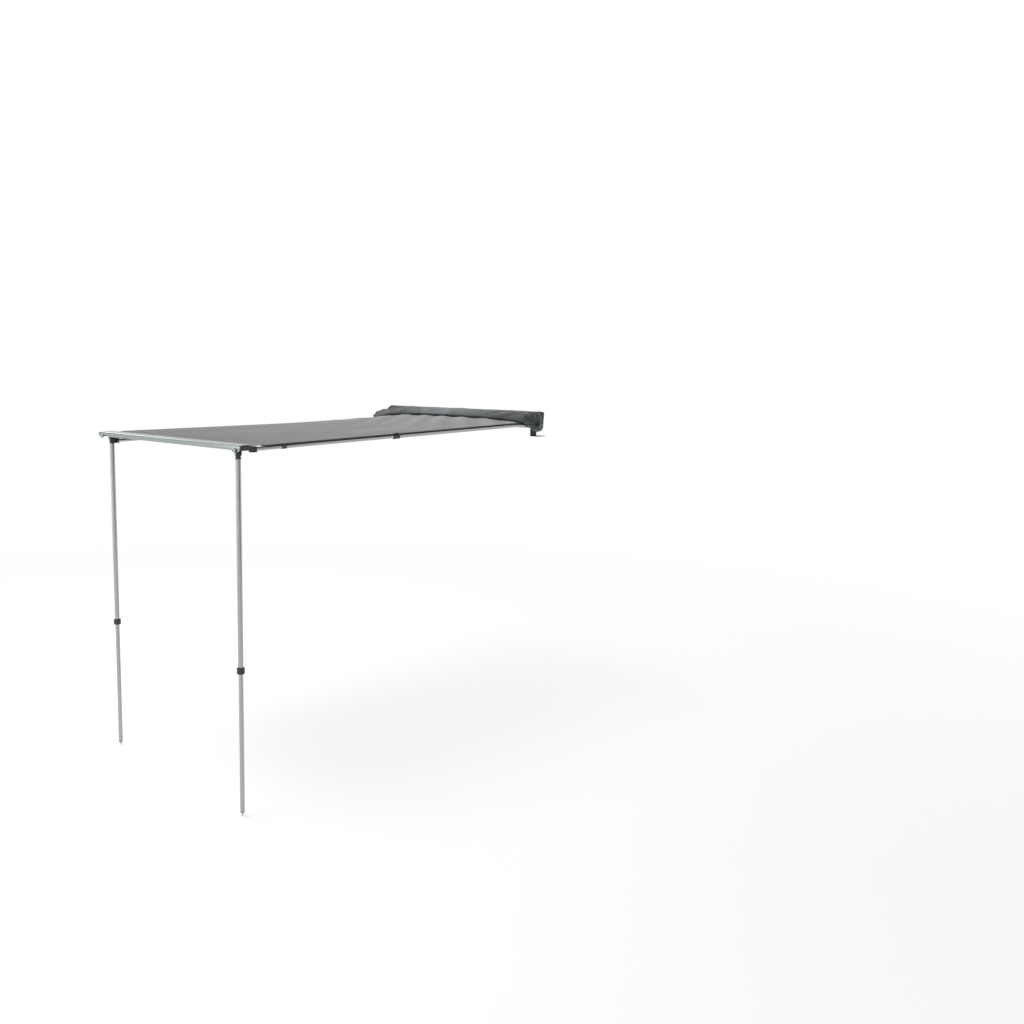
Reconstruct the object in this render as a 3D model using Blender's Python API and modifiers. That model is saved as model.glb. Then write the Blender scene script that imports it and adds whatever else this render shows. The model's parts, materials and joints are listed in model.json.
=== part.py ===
"""Vehicle side awning, set up: a mounting rail in its fabric cover, two telescopic arms, a canopy,
and a front bar on two telescopic legs.

Metres. +X runs along the rail to the right arm, -Y runs out along the arms to the front bar, +Z is up.
The origin is the centre of the rail's rear face.
"""

import math

import bmesh
import bpy
import numpy as np
from mathutils import Matrix, Vector

# Overall sizes
AWNING_DEPTH = 2.188
RAIL_LENGTH = 1.366
GROUND_DROP = 1.930
ARM_SLOPE = 0.0465

# Fits
GAP = 0.0003
SLIDE_GAP = 0.0003
HINGE_GAP = 0.0004
THREAD_GAP = 0.0003

# How far a cutter runs past the face it opens
PAST = 0.002

# Mounting rail
RAIL_THICKNESS = 0.022
RAIL_HEIGHT = 0.100
RAIL_WALL = 0.0025
RAIL_GROOVE_Z = 0.018
RAIL_CAP_THICKNESS = 0.004
RAIL_CAP_PLUG = 0.012

# Keder groove and the bead that the canopy hangs from
GROOVE_RADIUS = 0.0035
GROOVE_SLIT = 0.0036
GROOVE_LIP = 0.005
BEAD_CLEARANCE = 0.0004

# Rack brackets and their bolts
BRACKET_INSET = 0.063
BRACKET_WIDTH = 0.050
BRACKET_REACH = 0.090
BRACKET_STEEL = 0.004
BRACKET_TOP_Z = 0.022
BRACKET_DROP = 0.105
BRACKET_SEAT = 0.0005
BRACKET_SLOT_WIDTH = 0.009
BRACKET_SLOT_LENGTH = 0.040
BOLT_RADIUS = 0.004
BOLT_HEAD_RADIUS = 0.0075
BOLT_HEAD_HEIGHT = 0.0053
BOLT_SPACING = 0.038
BOLT_MID_Z = -0.018
NUT_HEIGHT = 0.0065
BOLT_TAIL = 0.002

# Arms
ARM_INSET = 0.015
ARM_HINGE_Y = -0.100
ARM_END_Z = -0.118
ARM_STAGGER = 0.030
ARM_OUTER_RADIUS = 0.011
ARM_WALL = 0.0012
ARM_OUTER_LENGTH = 1.094
ARM_OVERLAP = 0.180
ARM_ROOT_REACH = 0.042
ARM_SPIGOT = 0.033
ARM_EYE_RADIUS = 0.013
ARM_EYE_HEIGHT = 0.020
ARM_TIP_LENGTH = 0.018
ARM_TIP_PLUG = 0.040
ARM_TIP_EDGE = 0.0015
ARM_NECK_WIDTH = 0.0208
ARM_NECK_STEP = 0.001
ARM_TIP_CLEARANCE = 0.009
HINGE_PIN_RADIUS = 0.004
HINGE_PIN_HEAD = 0.0065
HINGE_PIN_HEAD_HEIGHT = 0.0025
HINGE_PLATE = 0.003
HINGE_PLATE_WIDTH = 0.048
HINGE_PLATE_NOSE = 0.018
HINGE_FLANGE_HEIGHT = 0.050

# Twist collars
COLLAR_WALL = 0.0032
ARM_COLLAR_LENGTH = 0.040
LEG_COLLAR_WALL = 0.0062
LEG_COLLAR_LENGTH = 0.030
COLLAR_RIBS = 14
COLLAR_RIB_DEPTH = 0.0008

# Front bar
BAR_OVERHANG = 0.0095
BAR_DEPTH = 0.070
BAR_HEIGHT = 0.027
BAR_BOTTOM_Z = -0.1215
BAR_WALL = 0.0025
BAR_BROW_DEPTH = 0.014
BAR_NOTCH_Z = 0.0195
BAR_NOTCH_WIDTH = 0.002
BAR_NOTCH_DEPTH = 0.0025
BAR_CORNER = 0.0015
BAR_CAP_THICKNESS = 0.005
BAR_CAP_PLUG = 0.012
SADDLE_LENGTH = 0.028
SADDLE_WALL = 0.003
SADDLE_PLATE = 0.0035
SADDLE_CLEARANCE = 0.0018
SADDLE_LIP = 0.008

# Leg hinges
LEG_INSET = 0.0405
LEG_STAGGER = 0.034
LEG_PIVOT_DROP = 0.017
BLOCK_BASE_LENGTH = 0.033
BLOCK_BASE_WIDTH = 0.036
BLOCK_BASE_THICKNESS = 0.0024
BLOCK_EAR = 0.0047
BLOCK_EAR_RADIUS = 0.010
LEG_PIN_RADIUS = 0.003
LEG_PIN_HEAD = 0.005
LEG_PIN_HEAD_HEIGHT = 0.0015
TONGUE_HALF = 0.0089
TONGUE_RADIUS = 0.0095
KNUCKLE_WIDTH = 0.026
KNUCKLE_HEIGHT = 0.019
KNUCKLE_DEPTH = 0.008
KNUCKLE_DROP = 0.009
KNUCKLE_EDGE = 0.003

# Legs
LEG_OUTER_RADIUS = 0.0125
LEG_WALL = 0.0012
LEG_CUP_START = 0.0115
LEG_CUP_LENGTH = 0.0125
LEG_CUP_NECK = 0.0105
LEG_CUP_RADIUS = 0.0135
LEG_SPIGOT = 0.026
LEG_OUTER_LENGTH = 1.026
LEG_OVERLAP = 0.280
FOOT_FLANGE = 0.005
FOOT_SPIGOT = 0.022
SPIKE_RADIUS = 0.0035
SPIKE_LENGTH = 0.019
SPIKE_SEAT = 0.0095
SPIKE_COLLAR_RADIUS = 0.0055
SPIKE_COLLAR_THICKNESS = 0.002
SPIKE_COLLAR_HEIGHT = 0.008
SPIKE_TAPER = 0.001
FOOT_TAPER = 0.002

# Canopy
CANOPY_THICKNESS = 0.0016
CANOPY_SAG = 0.012
EDGE_CLEARANCE = 0.0015
LEFT_EDGE_SAG = 0.019
EDGE_RAMP = 0.045
FOLD_HEIGHT = 0.0022
FOLD_COUNT = 7
HEM_WIDTH = 0.012
HEM_THICKNESS = 0.005
HEM_OVERHANG = 0.002
HEM_START = 0.100
HEM_CLEARANCE = 0.020
STRAP_Y = -1.962
STRAP_WIDTH = 0.025
STRAP_THICKNESS = 0.0016

# Cover
COVER_SIDE_ROOM = 0.008
COVER_THICKNESS = 0.004
COVER_FRONT = 0.212
COVER_HEIGHT = 0.0675
COVER_LIP_Z = 0.014
COVER_BACK = 0.030
COVER_BACK_Z = 0.024
END_THICKNESS = 0.004
END_BULGE = 0.018
END_BOTTOM_Z = -0.070
END_MIDDLE_Z = 0.006
GATHER_HEIGHT = 0.0022
GATHER_COUNT = 6

# Facets
ROUND_STEPS = 20
SMALL_STEPS = 12
GROOVE_STEPS = 8
EAR_STEPS = 10
CANOPY_ROWS = 15
CANOPY_COLUMNS = 33

SIDES = (("right", 1), ("left", -1))

# Places that follow from the sizes above
BAR_LENGTH = RAIL_LENGTH + 2 * BAR_OVERHANG
TILT = math.atan(ARM_SLOPE)
ARM_X = RAIL_LENGTH / 2 - ARM_INSET
LEG_X = BAR_LENGTH / 2 - LEG_INSET
BRACKET_X = RAIL_LENGTH / 2 - BRACKET_INSET
BRACKET_Y = GAP - BRACKET_SEAT
BAR_FRONT_Y = -AWNING_DEPTH - BAR_DEPTH / 2
BAR_BACK_Y = BAR_FRONT_Y + BAR_DEPTH
ARM_TIP_Y = BAR_BACK_Y + ARM_TIP_CLEARANCE
ARM_REACH = (ARM_HINGE_Y - ARM_TIP_Y) / math.cos(TILT)
ARM_HINGE_Z = ARM_END_Z + (ARM_HINGE_Y - ARM_TIP_Y) * ARM_SLOPE
ARM_INNER_RADIUS = ARM_OUTER_RADIUS - ARM_WALL - SLIDE_GAP
COLLAR_RADIUS = ARM_OUTER_RADIUS + SLIDE_GAP + COLLAR_WALL
ARM_OUTER_END = ARM_ROOT_REACH + ARM_OUTER_LENGTH
ARM_INNER_END = ARM_REACH - ARM_TIP_LENGTH
LEG_PIVOT_Z = BAR_BOTTOM_Z - LEG_PIVOT_DROP
LEG_LOWER_RADIUS = LEG_OUTER_RADIUS - LEG_WALL - SLIDE_GAP
LEG_TUBE_TOP = LEG_CUP_START + LEG_CUP_LENGTH + GAP
LEG_OUTER_END = LEG_TUBE_TOP + LEG_OUTER_LENGTH
LEG_REACH = GROUND_DROP + LEG_PIVOT_Z
LEG_LOWER_END = LEG_REACH - SPIKE_LENGTH - FOOT_FLANGE
BAR_GROOVE_Z = BAR_HEIGHT - BAR_WALL - GROOVE_RADIUS
LIP_SHARE = 2 * GROOVE_LIP / AWNING_DEPTH
CANOPY_WIDTH = RAIL_LENGTH
CANOPY_REAR_Y = -RAIL_THICKNESS + GROOVE_LIP - GAP
CANOPY_FRONT_Y = BAR_BACK_Y - GROOVE_LIP + GAP
CANOPY_FRONT_Z = BAR_BOTTOM_Z + BAR_GROOVE_Z
COVER_HALF_LENGTH = RAIL_LENGTH / 2 + RAIL_CAP_THICKNESS + GAP + COVER_SIDE_ROOM

# Local axes (x, y, z) laid along world (Y, Z, X), for outlines drawn across the awning's length
ACROSS = Matrix(((0, 0, 1), (1, 0, 0), (0, 1, 0))).to_4x4()

for leftover in list(bpy.data.objects):
    bpy.data.objects.remove(leftover)

parts = bpy.data.collections.new("side_awning")
cutters = bpy.data.collections.new("cutters")
for group in (parts, cutters):
    bpy.context.scene.collection.children.link(group)


def finish(name, colour, roughness, metallic=0.0):
    """A material with one plain surface."""
    material = bpy.data.materials.new(name)
    material.use_nodes = True
    shader = material.node_tree.nodes["Principled BSDF"]
    shader.inputs["Base Color"].default_value = (*colour, 1.0)
    shader.inputs["Roughness"].default_value = roughness
    shader.inputs["Metallic"].default_value = metallic
    return material


ALUMINIUM = finish("aluminium", (0.62, 0.64, 0.64), 0.34, 1.0)
BLACK_PLASTIC = finish("black_plastic", (0.02, 0.022, 0.022), 0.5)
BLACK_STEEL = finish("black_steel", (0.025, 0.027, 0.028), 0.42, 0.6)
ZINC_STEEL = finish("zinc_steel", (0.55, 0.55, 0.53), 0.3, 1.0)
CANOPY_CLOTH = finish("canopy_cloth", (0.30, 0.31, 0.295), 0.85)
COVER_CLOTH = finish("cover_cloth", (0.07, 0.085, 0.09), 0.6)
WEBBING = finish("webbing", (0.03, 0.025, 0.025), 0.9)


def pivot(name, place, parent=None):
    """An empty that a moving group hangs from."""
    empty = bpy.data.objects.new(name, None)
    empty.empty_display_size = 0.03
    parts.objects.link(empty)
    empty.parent = parent
    empty.matrix_basis = place
    return empty


def put(name, mesh, material, place=None, parent=None, collection=parts):
    """A named object for a mesh."""
    made = bpy.data.objects.new(name, mesh)
    collection.objects.link(made)
    made.parent = parent
    made.matrix_basis = place or Matrix.Identity(4)
    if material:
        mesh.materials.append(material)
    return made


def mesh_of(builder):
    """A mesh from a bmesh, with its normals pointing out."""
    bmesh.ops.recalc_face_normals(builder, faces=builder.faces)
    mesh = bpy.data.meshes.new("shape")
    builder.to_mesh(mesh)
    builder.free()
    return mesh


def block(low, high):
    """A box between two corners."""
    builder = bmesh.new()
    bmesh.ops.create_cube(builder, size=1.0)
    span = Vector(high) - Vector(low)
    bmesh.ops.scale(builder, vec=span, verts=builder.verts)
    bmesh.ops.translate(builder, vec=Vector(low) + span / 2, verts=builder.verts)
    return mesh_of(builder)


def rod(radius, start, end, steps=ROUND_STEPS):
    """A cylinder between two points."""
    start, end = Vector(start), Vector(end)
    builder = bmesh.new()
    bmesh.ops.create_cone(
        builder,
        cap_ends=True,
        segments=steps,
        radius1=radius,
        radius2=radius,
        depth=(end - start).length,
    )
    turn = (end - start).to_track_quat("Z", "Y").to_matrix().to_4x4()
    bmesh.ops.transform(builder, matrix=Matrix.Translation((start + end) / 2) @ turn, verts=builder.verts)
    return mesh_of(builder)


def shade(made, angle=0.6):
    """Smooth faces with sharp edges kept."""
    made.data.shade_smooth()
    made.data.set_sharp_from_angle(angle=angle)
    return made


def combine(made, other, operation):
    """A Boolean with another mesh, placed and parented like the first object."""
    tool = put(made.name + "_" + operation.lower(), other, None, made.matrix_basis.copy(), made.parent, cutters)
    tool.hide_render = True
    tool.display_type = "WIRE"
    change = made.modifiers.new(operation.title(), "BOOLEAN")
    change.operation = operation
    change.object = tool
    change.solver = "EXACT"
    return made


def cut(made, other):
    return combine(made, other, "DIFFERENCE")


def join(made, other):
    return combine(made, other, "UNION")


def turned(name, profile, material, place=None, parent=None, steps=ROUND_STEPS, closed=False):
    """A profile of (radius, height) points, top to bottom on its outer side, turned about Z."""
    mesh = bpy.data.meshes.new(name)
    count = len(profile)
    edges = [(i, i + 1) for i in range(count - 1)]
    if closed:
        edges.append((count - 1, 0))
    mesh.from_pydata([(radius, 0.0, height) for radius, height in profile], edges, [])
    made = put(name, mesh, material, place, parent)
    change = made.modifiers.new("Screw", "SCREW")
    change.steps = steps
    change.render_steps = steps
    change.use_merge_vertices = True
    change.merge_threshold = 0.00001
    change.use_smooth_shade = True
    return made


def tube(name, outer, wall, start, end, material, parent):
    """A tube from start to end along -Z of its parent."""
    inner = outer - wall
    profile = [(outer, -start), (outer, -end), (inner, -end), (inner, -start)]
    return turned(name, profile, material, None, parent, closed=True)


def arc(centre, radius, first, last, steps):
    """Points on a circle from one angle to another, in degrees."""
    angles = np.radians(np.linspace(first, last, steps + 1))
    return [(centre[0] + radius * math.cos(a), centre[1] + radius * math.sin(a)) for a in angles]


def outline(name, loops, thickness, material, place=None, parent=None):
    """Flat closed loops, the later ones holes, given a thickness centred on their plane."""
    curve = bpy.data.curves.new(name, "CURVE")
    curve.dimensions = "2D"
    curve.fill_mode = "BOTH"
    curve.extrude = thickness / 2
    for loop in loops:
        spline = curve.splines.new("POLY")
        spline.points.add(len(loop) - 1)
        for point, (a, b) in zip(spline.points, loop):
            point.co = (a, b, 0.0, 1.0)
        spline.use_cyclic_u = True
    drawn = put(name, curve, None, place, parent)
    bpy.context.view_layer.update()
    mesh = bpy.data.meshes.new_from_object(drawn.evaluated_get(bpy.context.evaluated_depsgraph_get()))
    bpy.data.objects.remove(drawn)
    bpy.data.curves.remove(curve)
    builder = bmesh.new()
    builder.from_mesh(mesh)
    bmesh.ops.remove_doubles(builder, verts=builder.verts, dist=0.00001)
    bmesh.ops.recalc_face_normals(builder, faces=builder.faces)
    builder.to_mesh(mesh)
    builder.free()
    return put(name, mesh, material, place, parent)


def surface(name, points, thickness, material, offset=-1.0, parent=None):
    """A grid of points, rows by columns, thickened into a sheet."""
    rows, columns = points.shape[:2]
    index = np.arange(rows * columns).reshape(rows, columns)
    faces = np.stack([index[:-1, :-1], index[1:, :-1], index[1:, 1:], index[:-1, 1:]], -1)
    mesh = bpy.data.meshes.new(name)
    mesh.from_pydata(points.reshape(-1, 3).tolist(), [], faces.reshape(-1, 4).tolist())
    made = put(name, mesh, material, None, parent)
    change = made.modifiers.new("Solidify", "SOLIDIFY")
    change.thickness = thickness
    change.offset = offset
    return shade(made)


def groove(mouth, centre_z, into):
    """The outline of a keder groove: a slit from the mouth and a round bore, upper lip first.

    into is +1 where the groove runs towards +Y and -1 where it runs towards -Y.
    """
    half = GROOVE_SLIT / 2
    open_angle = math.degrees(math.asin(half / GROOVE_RADIUS))
    bore = mouth + into * (GROOVE_LIP + GROOVE_RADIUS * math.cos(math.radians(open_angle)))
    if into > 0:
        ring = arc((bore, centre_z), GROOVE_RADIUS, 180 - open_angle, -180 + open_angle, GROOVE_STEPS)
    else:
        ring = arc((bore, centre_z), GROOVE_RADIUS, -open_angle, open_angle - 360, GROOVE_STEPS)
        ring = ring[::-1]
    return [(mouth, centre_z + half), *ring, (mouth, centre_z - half)], bore


# Mounting rail


def rail():
    """A hollow extrusion: a keder groove in its front face and a shallow seat for each bracket behind."""
    front = -RAIL_THICKNESS
    half = RAIL_HEIGHT / 2
    slit, _ = groove(front, RAIL_GROOVE_Z, 1)
    skin = [(0.0, -half), (0.0, half), (front, half), *slit, (front, -half)]
    near, far = front + RAIL_WALL, -RAIL_WALL
    reach = GROOVE_RADIUS + RAIL_WALL
    floor, roof = RAIL_WALL - half, half - RAIL_WALL
    under, over = RAIL_GROOVE_Z - reach, RAIL_GROOVE_Z + reach
    upper = [(near, over), (far, over), (far, roof), (near, roof)]
    lower = [(near, floor), (far, floor), (far, under), (near, under)]
    made = outline("mounting_rail", [skin, upper, lower], RAIL_LENGTH, ALUMINIUM, ACROSS)
    for x, z in bolt_places():
        hole = rod(BOLT_RADIUS + THREAD_GAP, (PAST, z, x), (-RAIL_WALL * 2, z, x), SMALL_STEPS)
        cut(made, hole)
    for _, side in SIDES:
        reach = BRACKET_WIDTH / 2 + GAP
        low = (-BRACKET_SEAT, -half - PAST, side * BRACKET_X - reach)
        cut(made, block(low, (PAST * 2, BRACKET_TOP_Z + GAP, side * BRACKET_X + reach)))
    return made


def bolt_places():
    """Where the bracket bolts cross the rail's rear face, as (x, z)."""
    return [
        (side * BRACKET_X, BOLT_MID_Z + step * BOLT_SPACING / 2)
        for _, side in SIDES
        for step in (-1, 1)
    ]


def rail_cap(word, side):
    """A plate on the rail's end, with a plug in its lower chamber."""
    half = RAIL_HEIGHT / 2
    start = side * (RAIL_LENGTH / 2 + GAP)
    end = start + side * RAIL_CAP_THICKNESS
    plate = block_between(start, end, -RAIL_THICKNESS, 0.0, -half, half)
    made = put("rail_cap_" + word, plate, BLACK_PLASTIC)
    inset = RAIL_WALL + GAP
    top = RAIL_GROOVE_Z - GROOVE_RADIUS - RAIL_WALL - GAP
    inside = start - side * RAIL_CAP_PLUG
    middle = (start + end) / 2
    return join(made, block_between(inside, middle, inset - RAIL_THICKNESS, -inset, inset - half, top))


def block_between(x_one, x_two, y_low, y_high, z_low, z_high):
    """A box whose two ends along X may come in either order."""
    return block((min(x_one, x_two), y_low, z_low), (max(x_one, x_two), y_high, z_high))


def rack_bracket(word, side):
    """An angle: one leg on the rail's rear face, one that lies on the roof rack."""
    x = side * BRACKET_X
    low_x, high_x = x - BRACKET_WIDTH / 2, x + BRACKET_WIDTH / 2
    bottom = -BRACKET_DROP
    made = put(
        "rack_bracket_" + word,
        block((low_x, BRACKET_Y, bottom), (high_x, BRACKET_Y + BRACKET_STEEL, BRACKET_TOP_Z)),
        BLACK_STEEL,
    )
    join(made, block((low_x, BRACKET_Y, bottom), (high_x, BRACKET_Y + BRACKET_REACH, bottom + BRACKET_STEEL)))
    slot_y = BRACKET_Y + BRACKET_STEEL + (BRACKET_REACH - BRACKET_STEEL) / 2
    run = BRACKET_SLOT_LENGTH / 2 - BRACKET_SLOT_WIDTH / 2
    radius = BRACKET_SLOT_WIDTH / 2
    for end in (-1, 1):
        spot = slot_y + end * run
        cut(made, rod(radius, (x, spot, bottom - PAST), (x, spot, bottom + BRACKET_STEEL + PAST), SMALL_STEPS))
    low = (x - radius, slot_y - run, bottom - PAST * 1.5)
    cut(made, block(low, (x + radius, slot_y + run, bottom + BRACKET_STEEL + PAST * 1.5)))
    for bolt_x, z in bolt_places():
        if abs(bolt_x - x) < BRACKET_WIDTH:
            end = (x, BRACKET_Y + BRACKET_STEEL + PAST, z)
            cut(made, rod(BOLT_RADIUS + THREAD_GAP, (x, -PAST, z), end, SMALL_STEPS))
    return made


def bolt_and_nut(word, x, z):
    """A hex bolt through the bracket and the rail's rear wall, and its nut in the rail."""
    seat = BRACKET_Y + BRACKET_STEEL + GAP
    inner_face = -RAIL_WALL - GAP
    nut_end = inner_face - NUT_HEIGHT
    place = Matrix.Translation((x, 0.0, z)) @ Matrix.Rotation(-math.pi / 2, 4, "X")
    head = rod(BOLT_HEAD_RADIUS, (0, 0, seat), (0, 0, seat + BOLT_HEAD_HEIGHT), 6)
    bolt = put("bracket_bolt_" + word, head, ZINC_STEEL, place)
    join(bolt, rod(BOLT_RADIUS, (0, 0, nut_end - BOLT_TAIL), (0, 0, seat + BOLT_HEAD_HEIGHT / 2), SMALL_STEPS))
    hexagon = rod(BOLT_HEAD_RADIUS, (0, 0, nut_end), (0, 0, inner_face), 6)
    nut = put("bracket_nut_" + word, hexagon, ZINC_STEEL, place)
    cut(nut, rod(BOLT_RADIUS + THREAD_GAP, (0, 0, nut_end - PAST), (0, 0, inner_face + PAST), SMALL_STEPS))


def bead(name, y, z, length):
    """The round cord along a canopy edge, inside its groove."""
    radius = GROOVE_RADIUS - BEAD_CLEARANCE
    half = length / 2
    return shade(put(name, rod(radius, (-half, y, z), (half, y, z), SMALL_STEPS), WEBBING))


# Arms


def arm_z(side):
    """The height of an arm's hinge: the left arm folds below the right one."""
    return ARM_HINGE_Z - (0.0 if side > 0 else ARM_STAGGER)


def slope_frame(side):
    """A frame at the arm's hinge, tilted so that its -Y runs down the arm."""
    return Matrix.Translation((side * ARM_X, ARM_HINGE_Y, arm_z(side))) @ Matrix.Rotation(TILT, 4, "X")


# -Z of a turned piece laid along -Y of the arm
ALONG_ARM = Matrix.Rotation(-math.pi / 2, 4, "X")


def hinge_bracket(word, side):
    """A shelf under the arm's eye, with a flange on the rail's front face."""
    frame = slope_frame(side)
    top = -ARM_EYE_HEIGHT / 2 - GAP
    x_out = HINGE_PLATE_WIDTH / 2
    shelf_back = (ARM_HINGE_Y + RAIL_THICKNESS + GAP + HINGE_PLATE / 2) / math.cos(TILT)
    made = put(
        "hinge_bracket_" + word,
        block((-x_out, -HINGE_PLATE_NOSE, top - HINGE_PLATE), (x_out, -shelf_back, top)),
        BLACK_STEEL,
        frame,
    )
    below = top - HINGE_PLATE - PAST
    cut(made, rod(HINGE_PIN_RADIUS + HINGE_GAP, (0, 0, below), (0, 0, top + PAST), SMALL_STEPS))
    flange_front = -RAIL_THICKNESS - GAP - HINGE_PLATE
    plate_z = arm_z(side) - ARM_EYE_HEIGHT / 2 - HINGE_PLATE - HINGE_PLATE_WIDTH / 4 * ARM_SLOPE
    low = (side * ARM_X - x_out, flange_front, plate_z)
    high = (side * ARM_X + x_out, -RAIL_THICKNESS - GAP, plate_z + HINGE_FLANGE_HEIGHT)
    flange = block(low, high)
    flange.transform(frame.inverted())
    return join(made, flange)


def hinge_pin(word, side):
    """The upright rivet that the arm swings about."""
    half = ARM_EYE_HEIGHT / 2
    top = half + GAP + HINGE_PIN_HEAD_HEIGHT
    bottom = -half - GAP - HINGE_PLATE - GAP - HINGE_PIN_HEAD_HEIGHT
    profile = [
        (0.0, top),
        (HINGE_PIN_HEAD, top),
        (HINGE_PIN_HEAD, top - HINGE_PIN_HEAD_HEIGHT),
        (HINGE_PIN_RADIUS, top - HINGE_PIN_HEAD_HEIGHT),
        (HINGE_PIN_RADIUS, bottom + HINGE_PIN_HEAD_HEIGHT),
        (HINGE_PIN_HEAD, bottom + HINGE_PIN_HEAD_HEIGHT),
        (HINGE_PIN_HEAD, bottom),
        (0.0, bottom),
    ]
    return turned("hinge_pin_" + word, profile, ZINC_STEEL, slope_frame(side), steps=SMALL_STEPS)


def ribbed_ring(inner, outer):
    """A round hole in a ring whose rim swells and dips along its ribs."""
    count = COLLAR_RIBS * 4
    turns = 2 * np.pi * np.arange(count) / count
    radii = outer - COLLAR_RIB_DEPTH / 2 * (1 - np.cos(COLLAR_RIBS * turns))
    rim = [(r * math.cos(a), r * math.sin(a)) for r, a in zip(radii, turns)]
    hole = arc((0.0, 0.0), inner, 0.0, 360.0 - 360.0 / ROUND_STEPS, ROUND_STEPS - 1)
    return [rim, hole]


def collar(name, tube_radius, wall, start, length, parent):
    """A twist collar round a tube's end, along -Z of its parent."""
    loops = ribbed_ring(tube_radius + SLIDE_GAP, tube_radius + SLIDE_GAP + wall)
    place = Matrix.Translation((0.0, 0.0, -start - length / 2))
    return shade(outline(name, loops, length, BLACK_PLASTIC, place, parent))


def arm(word, side):
    """One telescopic arm: root eye, outer tube, twist collar, inner tube and tip."""
    swing = pivot("arm_swing_" + word, slope_frame(side))
    line = pivot("arm_line_" + word, ALONG_ARM, swing)
    half = ARM_EYE_HEIGHT / 2
    eye = put("arm_root_" + word, rod(ARM_EYE_RADIUS, (0, 0, -half), (0, 0, half)), BLACK_PLASTIC, None, swing)
    neck, step = ARM_NECK_WIDTH / 2, half - ARM_NECK_STEP
    join(eye, block((-neck, -ARM_ROOT_REACH + GAP, -step), (neck, 0.0, step)))
    spigot = ARM_OUTER_RADIUS - ARM_WALL - GAP
    join(eye, rod(spigot, (0, -ARM_ROOT_REACH / 2, 0), (0, -ARM_ROOT_REACH - ARM_SPIGOT, 0)))
    cut(eye, rod(HINGE_PIN_RADIUS + HINGE_GAP, (0, 0, -half - PAST), (0, 0, half + PAST), SMALL_STEPS))
    tube("arm_outer_tube_" + word, ARM_OUTER_RADIUS, ARM_WALL, ARM_ROOT_REACH, ARM_OUTER_END, ALUMINIUM, line)
    inner_start = ARM_OUTER_END - ARM_OVERLAP
    tube("arm_inner_tube_" + word, ARM_INNER_RADIUS, ARM_WALL, inner_start, ARM_INNER_END, ALUMINIUM, line)
    collar_start = ARM_OUTER_END + ARM_COLLAR_LENGTH / 3 - ARM_COLLAR_LENGTH
    collar("arm_collar_" + word, ARM_OUTER_RADIUS, COLLAR_WALL, collar_start, ARM_COLLAR_LENGTH, line)
    plug = ARM_INNER_RADIUS - ARM_WALL - GAP
    profile = [
        (0.0, ARM_TIP_PLUG - ARM_INNER_END),
        (plug, ARM_TIP_PLUG - ARM_INNER_END),
        (plug, -ARM_INNER_END - GAP),
        (ARM_INNER_RADIUS, -ARM_INNER_END - GAP),
        (ARM_INNER_RADIUS, ARM_TIP_EDGE - ARM_REACH),
        (ARM_INNER_RADIUS - ARM_TIP_EDGE, -ARM_REACH),
        (0.0, -ARM_REACH),
    ]
    turned("arm_tip_" + word, profile, BLACK_PLASTIC, None, line)


# Front bar


def front_bar():
    """A hollow extrusion: a rounded brow over a dark slot in front, and a keder groove in its back."""
    notch_high = BAR_NOTCH_Z + BAR_NOTCH_WIDTH
    slit, bore = groove(BAR_DEPTH, BAR_GROOVE_Z, -1)
    brow = [
        (BAR_BROW_DEPTH * (1.0 - math.cos(t)), notch_high + (BAR_HEIGHT - notch_high) * math.sin(t))
        for t in np.linspace(0.0, math.pi / 2, 7)
    ]
    skin = [
        (BAR_DEPTH - BAR_CORNER, 0.0),
        (BAR_DEPTH, BAR_CORNER),
        *slit[::-1],
        (BAR_DEPTH, BAR_HEIGHT - BAR_CORNER),
        (BAR_DEPTH - BAR_CORNER, BAR_HEIGHT),
        *brow[::-1],
        (BAR_NOTCH_DEPTH, notch_high),
        (BAR_NOTCH_DEPTH, BAR_NOTCH_Z),
        (0.0, BAR_NOTCH_Z),
        (0.0, BAR_CORNER),
        (BAR_CORNER, 0.0),
    ]
    back = BAR_DEPTH - BAR_WALL
    step = bore - GROOVE_RADIUS - BAR_WALL
    roof = BAR_HEIGHT - BAR_WALL
    shelf = BAR_NOTCH_Z - BAR_WALL
    hollow = [
        (BAR_WALL, BAR_WALL),
        (back, BAR_WALL),
        (back, bar_ceiling()),
        (step, bar_ceiling()),
        (step, roof),
        (BAR_BROW_DEPTH, roof),
        (BAR_NOTCH_DEPTH + BAR_WALL, shelf),
        (BAR_WALL, shelf),
    ]
    place = Matrix.Translation((0.0, BAR_FRONT_Y, BAR_BOTTOM_Z)) @ ACROSS
    return outline("front_bar", [skin, hollow], BAR_LENGTH, ALUMINIUM, place)


def bar_ceiling():
    """The height of the bar's hollow under the groove."""
    return BAR_GROOVE_Z - GROOVE_RADIUS - BAR_WALL


def bar_cap(word, side):
    """A black plate on the bar's end, with a plug in the bar's hollow."""
    start = side * (BAR_LENGTH / 2 + GAP)
    end = start + side * BAR_CAP_THICKNESS
    top = BAR_BOTTOM_Z + BAR_NOTCH_Z + BAR_NOTCH_WIDTH
    plate = block_between(start, end, BAR_FRONT_Y, BAR_BACK_Y, BAR_BOTTOM_Z, top)
    made = put("bar_cap_" + word, plate, BLACK_PLASTIC)
    inset = BAR_WALL + GAP
    ceiling = BAR_BOTTOM_Z + bar_ceiling() - GAP
    inside = start - side * BAR_CAP_PLUG
    middle = (start + end) / 2
    floor = BAR_BOTTOM_Z + inset
    join(made, block_between(inside, middle, BAR_FRONT_Y + inset, BAR_BACK_Y - inset, floor, ceiling))
    return made


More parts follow.
